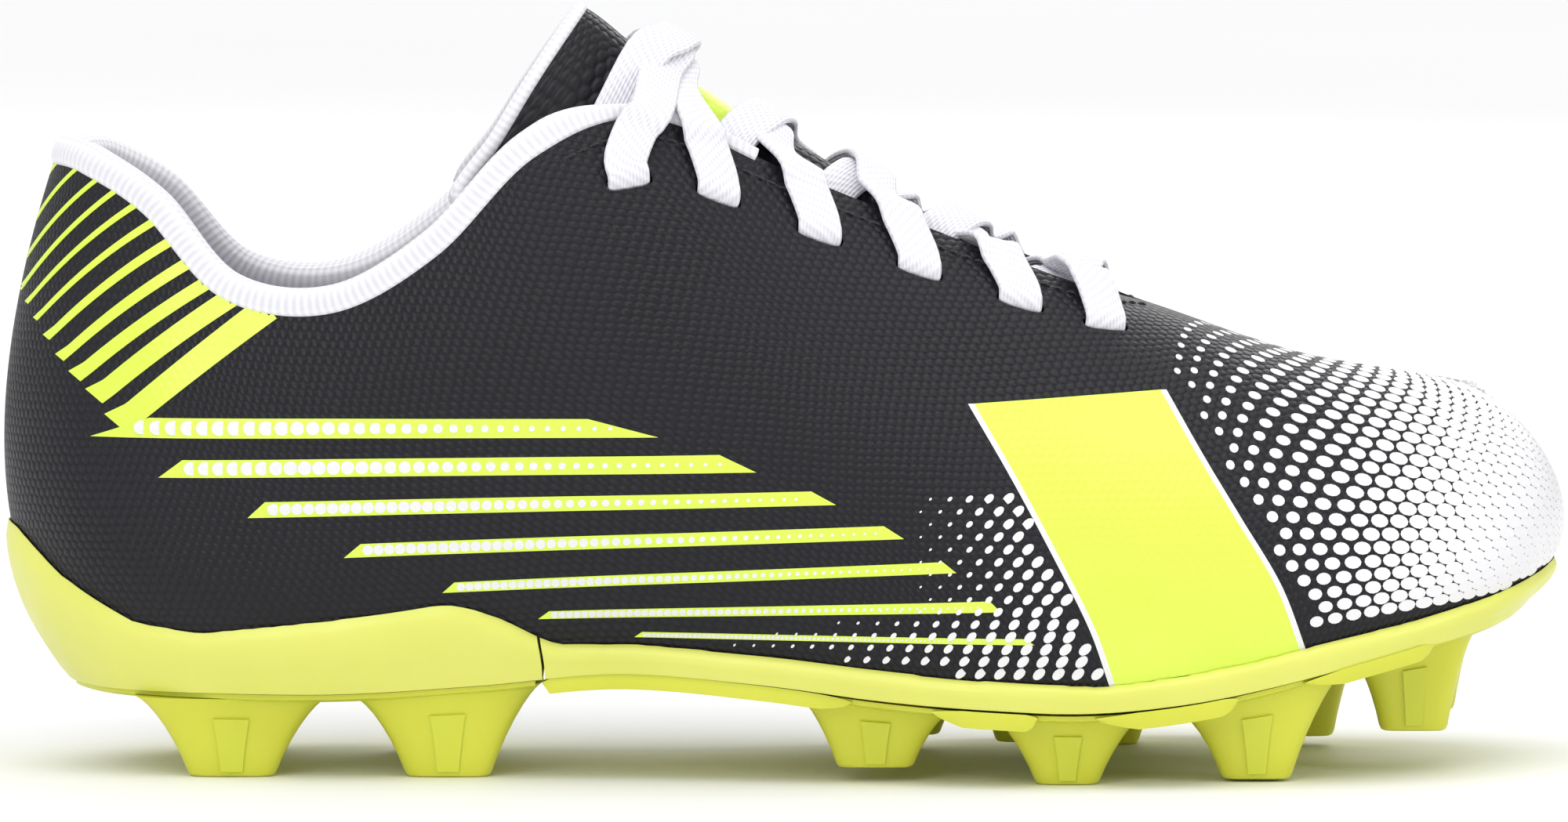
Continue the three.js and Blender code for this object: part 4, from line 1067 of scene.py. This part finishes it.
# heel stripes from the top down: lower end, upper end, width below and above, bow
stripeShape = [
    [(-113.5, 87.3), (-108.7, 93.2), 0.3, 0.5, 0.07], [(-114.7, 81.9), (-106, 91.9), 0.35, 0.6, 0.06],
    [(-116, 76.5), (-102.8, 90.4), 0.4, 0.7, 0.055], [(-116.6, 72.1), (-100.7, 88.3), 0.45, 0.8, 0.05],
    [(-115.4, 70.4), (-98.4, 85.8), 0.5, 0.95, 0.045], [(-113.9, 68.2), (-96.3, 83), 0.6, 1.15, 0.04],
    [(-112, 65.7), (-93.9, 80.1), 1.0, 1.4, 0.035], [(-109.8, 62.9), (-91.2, 77), 1.3, 1.75, 0.03],
    [(-107.3, 60.3), (-87.9, 74.4), 1.9, 2.0, 0.025], [(-104.1, 57.5), (-84.1, 72.4), 2.7, 2.9, 0.02],
    [(-100.6, 53.6), (-78.4, 71.1), 3.5, 4.1, 0.01],
]


def heelStripes():
    strips = []
    for side in (-1, 1):
        for low, high, below, above, bow in stripeShape:
            low, high = np.array(low), np.array(high)
            run = high - low
            high = high + unit(run) * 1.6  # runs on under the binding
            run = high - low
            square = unit(np.array([-run[1], run[0]]))
            f = np.linspace(0, 1, 40)[:, None]
            middle = low + run * f + square * np.linalg.norm(run) * bow * 4 * f * (1 - f)
            heading = unit(np.gradient(middle, axis=0))
            sideways = np.stack([-heading[:, 1], heading[:, 0]], -1)
            half = (below + (above - below) * f) / 2
            # the lower ends are cut level
            slant = np.array([1.0, 0]) * half * 0.8 * (1 - np.minimum(f * 12, 1))
            under, over = middle - sideways * half - slant * 0.2, middle + sideways * half - slant
            strips.append(castStrip(under, over, side, 5))
    filmPiece("heel_stripes", strips, neonFilm)


sideBars()
heelStripes()
print("bars and stripes made")

# broad plain band from the sole up to the eyestay
bandShape = {
    "back": [(48, 15.5), (45, 24), (40, 34), (33.5, 46), (27, 57)],
    "front": [(76, 19.4), (72, 30), (66, 40), (60.5, 49), (55, 58.5)],
    "outline": 0.45,
}


def sideBand():
    bands, outlines = [], []
    for side in (-1, 1):
        back, front = smoothPath(bandShape["back"], 10), smoothPath(bandShape["front"], 10)
        bands.append(castStrip(back, front, side, 26))
        for edge, push in ((back, -1), (front, 1)):
            rim = edge + np.array([push * bandShape["outline"] * 2, 0])
            pair = (rim, edge) if push < 0 else (edge, rim)
            outlines.append(castStrip(pair[0], pair[1], side, 2))
    filmPiece("side_band", bands, neonFilm)
    filmPiece("side_band_outline", outlines, whiteFilm)


sideBand()

# field of slanted dots behind the band and low on the side, larger towards the band
patchDots = {"rows": 16, "low": 15.5, "pitch": (2.9, 1.85), "gap": 1.7, "large": 1.02, "small": 0.2,
             "long": 1.08, "short": 0.7, "slant": (1, 0, 0.9), "margin": 0.9,
             "from": 19, "bend": 28, "lean": 4.2}


def bandEdge(name, z):
    return np.interp(z, [p[1] for p in bandShape[name]], [p[0] for p in bandShape[name]])


def bandDots():
    shapes = []
    d = patchDots
    for side in (-1, 1):
        for row in range(d["rows"]):
            z = d["low"] + row * d["pitch"][1]
            edge = bandEdge("back", z)
            start = d["from"] - max(0, d["bend"] - z) * d["lean"]
            x = start + (row % 2) * d["pitch"][0] / 2
            while x < edge - d["gap"]:
                near = 1 - smooth(0.05, 1.05, (edge - x) / (edge - start))
                size = (d["small"] + (d["large"] - d["small"]) * near) * mm
                hit, normal = castSide(x, z, side)
                if hit is not None and z > wallTopAt(x) + d["margin"]:
                    shapes.append(discShape(hit, normal, d["slant"], size * d["long"], size * d["short"],
                                            filmLook["dotLift"] * mm, 12))
                x += d["pitch"][0]
    filmPiece("band_dots", shapes, whiteFilm)


bandDots()

# dots of the toe, in rows round it that grow towards its tip and its foot
toeDots = {"rows": 25, "rowStart": 0.13, "rowEnd": 0.985, "step": 0.185, "from": 10.56}


def inBand(x, z):
    inside = bandEdge("back", z) - 2.2 < x < bandEdge("front", z) + 3.6
    return inside and z < bandShape["front"][-1][1] + 2


# clear of the band, the sole and the vamp behind the toe
def toeDotWanted(p, t, side, grow):
    onToe = p[0] > 56 + 12 * t * (side > 0) and p[0] + 26 * (1 - t) > 62
    return onToe and p[2] > wallTopAt(p[0]) + 1 - 0.7 * grow and not inBand(p[0], p[2])


def halftoneToe():
    shapes = []
    d = toeDots
    shares = np.linspace(d["rowStart"], d["rowEnd"], d["rows"])
    for side in (-1, 1):
        last = toeRib - 0.01 * side  # the middle dot of a row is made once
        for row, t in enumerate(shares):
            s = d["from"] + (row % 2) * d["step"] / 2
            while s < last:
                at = sidePlace(side, s)
                p = wallPoint(at, t)
                grow = float(smooth(52, 108, p[0]))
                if toeDotWanted(p, t, side, grow):
                    along = wallPoint(at + 0.05, t) - wallPoint(at - 0.05, t)
                    half = d["step"] / 2
                    spacing = np.linalg.norm(wallPoint(at + half, t) - wallPoint(at - half, t))
                    rowGap = np.linalg.norm(wallPoint(at, min(t + 0.018, 1)) - wallPoint(at, t - 0.018))
                    fill = (0.16 + 0.34 * grow + 0.06 * (1 - t)) * mm
                    shapes.append(discShape(toFrame(p), wallNormal(at, t), along, fill * spacing,
                                            fill * rowGap * 1.12, filmLook["lift"] * mm, 12))
                s += d["step"]
    filmPiece("toe_dots", shapes, whiteFilm)


halftoneToe()
print("toe dots made")


stitchLook = {"from": 6.3, "to": 10.9, "share": 0.94, "pitch": 2.1, "long": 1.5, "thick": 0.42}
# along a stitch: share of its half length, and height as a share of its thickness
stitchArc = [(-1, -0.25), (-0.5, 0.3), (0, 0.45), (0.5, 0.3), (1, -0.25)]


def alongRun(values, run, at):
    return np.array([np.interp(at, run, values[:, i]) for i in range(3)])


def stitchRow(points, normals):
    look = stitchLook
    run = np.concatenate([[0], np.cumsum(np.linalg.norm(np.diff(points, axis=0), axis=-1))])
    section = ovalSection(look["thick"], look["thick"] * 0.8, 8)
    shapes = []
    for s in np.arange(look["pitch"] / 2, run[-1], look["pitch"]):
        n = unit(alongRun(normals, run, s))
        middle = [alongRun(points, run, s + d * look["long"] / 2) for d, _ in stitchArc]
        path = [point + n * h * look["thick"] for point, (_, h) in zip(middle, stitchArc)]
        shapes.append(barSolid(path, [np.cross(n, middle[-1] - middle[0])] * len(path), section)[:2])
    return shapes


def stitches():
    shapes = []
    for side in (-1, 1):
        stops = np.linspace(stitchLook["from"], stitchLook["to"], 160)
        places = np.array([sidePlace(side, at) for at in stops])
        share = np.full(160, stitchLook["share"])
        shapes += stitchRow(lastPoint(places, share, 0), wallNormal(places, share))
    points, faces = joinShapes(shapes)
    obj = makePiece("eyestay_stitching", points, faces, points[:, [0, 2]], 60)
    attach(obj, thread, "shoe", "lace_braid")


stitches()
print("stitches made")


# inner parts keep their own shape
innerLooks = {
    "stiffener_sheet": plainSheet("stiffenerSheet", (0.33, 0.31, 0.27), 0.7),
    "pad_foam": plainSheet("collarFoam", (0.7, 0.68, 0.62), 0.95, 1500),
    "insole_fibre": plainSheet("insoleFibre", (0.58, 0.54, 0.42), 0.9, 900),
    "aglet_film": plainSheet("agletFilm", (0.85, 0.85, 0.87), 0.35, 300),
}
keptNodes = {
    "eyestay_backing_lateral": "stiffener_sheet", "eyestay_backing_medial": "stiffener_sheet",
    "heel_counter": "stiffener_sheet", "toe_puff": "stiffener_sheet", "insole_board": "insole_fibre",
    "aglet_lateral": "aglet_film", "aglet_medial": "aglet_film",
}


def dressNodes():
    for node, slot in keptNodes.items():
        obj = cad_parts[node]
        obj.data.materials.clear()
        obj.data.materials.append(innerLooks[slot])


dressNodes()


# share of the half width, and how far the liner's edge rises there
linerShape = {"low": 3.2, "thick": 3.0, "insets": (3.4, 2.8),
              "cup": [(0, 0), (0.4, 0), (0.75, 0.2), (0.93, 0.5), (1, 0.9)]}


def sockLiner():
    places = np.linspace(0, 30, 181)
    low, high = linerShape["low"], linerShape["low"] + linerShape["thick"]
    under, over = linerShape["insets"]
    outer = np.stack([acrossPoint(places, s, under, low) for s, _ in linerShape["cup"]], 1)
    inner = np.stack([acrossPoint(places, s, over, high + rise) for s, rise in linerShape["cup"]], 1)
    obj = makePiece("sock_liner_pad", *sheetSolid(outer, inner, inner[..., :2], None, False, False))
    return attach(obj, spacerMesh, "shoe", "white_mesh", "sock_liner")


collarPadShape = {"end": 4.5, "shares": (0.53, 0.97), "outside": 1.4, "gap": 0.3}


def collarPad():
    c = collarPadShape
    places, shares = np.linspace(-c["end"], c["end"], 91), np.linspace(*c["shares"], 12)
    obj = lastLayer("collar_pad", places, shares, lambda p, t: c["outside"] + 0 * p,
                    lambda p, t: liningOut(p, t) - c["gap"])
    return attach(obj, innerLooks["pad_foam"], "shoe", "pad_foam", "collar_foam")


sockLiner()
collarPad()
print("inner parts made")

studio = {"floorHalf": 9, "distance": 2.5, "elevation": 4.5, "viewWidth": 0.2372, "aimHeight": 0.0534,
          "worldStrength": 0.62, "ceiling": 1.75, "ceilingAngle": 70, "ceilingTilt": (10, -6)}
# place, aim, size and power of each soft light round the shoe
softboxes = {
    "frontBox": [(-0.5, -1.2, 0.6), (0, 0, 0.05), (0.7, 0.7), 4],
    "toeBox": [(1.0, -0.5, 0.5), (0.05, 0, 0.05), (0.5, 0.6), 2.5],
    "backBox": [(0.4, 1.2, 0.7), (0, 0, 0.05), (0.7, 0.7), 3],
}


def stage():
    floor = bpy.data.meshes.new("floor")
    half = studio["floorHalf"]
    corners = [(-half, -half, 0), (half, -half, 0), (half, half, 0), (-half, half, 0)]
    floor.from_pydata(corners, [], [(0, 1, 2, 3)])
    obj = bpy.data.objects.new("floor", floor)
    bpy.context.collection.objects.link(obj)
    n = Nodes("paleFloor")
    tone = n.mix(n.noise(3, 3), (0.84, 0.84, 0.85), (0.87, 0.87, 0.88))
    obj.data.materials.append(n.finish(tone, 0.6, None, Specular_IOR_Level=0.2))


def softbox(name, at, aim, size, power):
    light = bpy.data.lights.new(name, "AREA")
    light.shape, light.energy = "RECTANGLE", power
    light.size, light.size_y = size
    obj = bpy.data.objects.new(name, light)
    obj.location = at
    obj.rotation_euler = (Vector(aim) - Vector(at)).to_track_quat("-Z", "Y").to_euler()
    bpy.context.collection.objects.link(obj)


def lights():
    world = bpy.data.worlds.new("studio")
    bpy.context.scene.world = world
    world.use_nodes = True
    background = world.node_tree.nodes["Background"]
    background.inputs["Color"].default_value = (1, 1, 1, 1)
    background.inputs["Strength"].default_value = studio["worldStrength"]
    panels = bpy.data.lights.new("ceilingPanels", "SUN")
    panels.energy, panels.angle = studio["ceiling"], math.radians(studio["ceilingAngle"])
    ceiling = bpy.data.objects.new("ceilingPanels", panels)
    ceiling.rotation_euler = (*[math.radians(tilt) for tilt in studio["ceilingTilt"]], 0)
    bpy.context.collection.objects.link(ceiling)
    for name, values in softboxes.items():
        softbox(name, *values)


def camera():
    s = studio
    data = bpy.data.cameras.new("camera")
    data.sensor_width = 36
    data.lens = 36 * s["distance"] / s["viewWidth"]
    data.clip_end = 20
    obj = bpy.data.objects.new("camera", data)
    angle = math.radians(s["elevation"])
    aim = Vector((0, 0, s["aimHeight"]))
    obj.location = aim + Vector((0, -math.cos(angle), math.sin(angle))) * s["distance"]
    obj.rotation_euler = (aim - obj.location).to_track_quat("-Z", "Y").to_euler()
    bpy.context.collection.objects.link(obj)
    bpy.context.scene.camera = obj
    bpy.context.scene.view_settings.view_transform = "Standard"


stage()
lights()
camera()
print("studio ready")
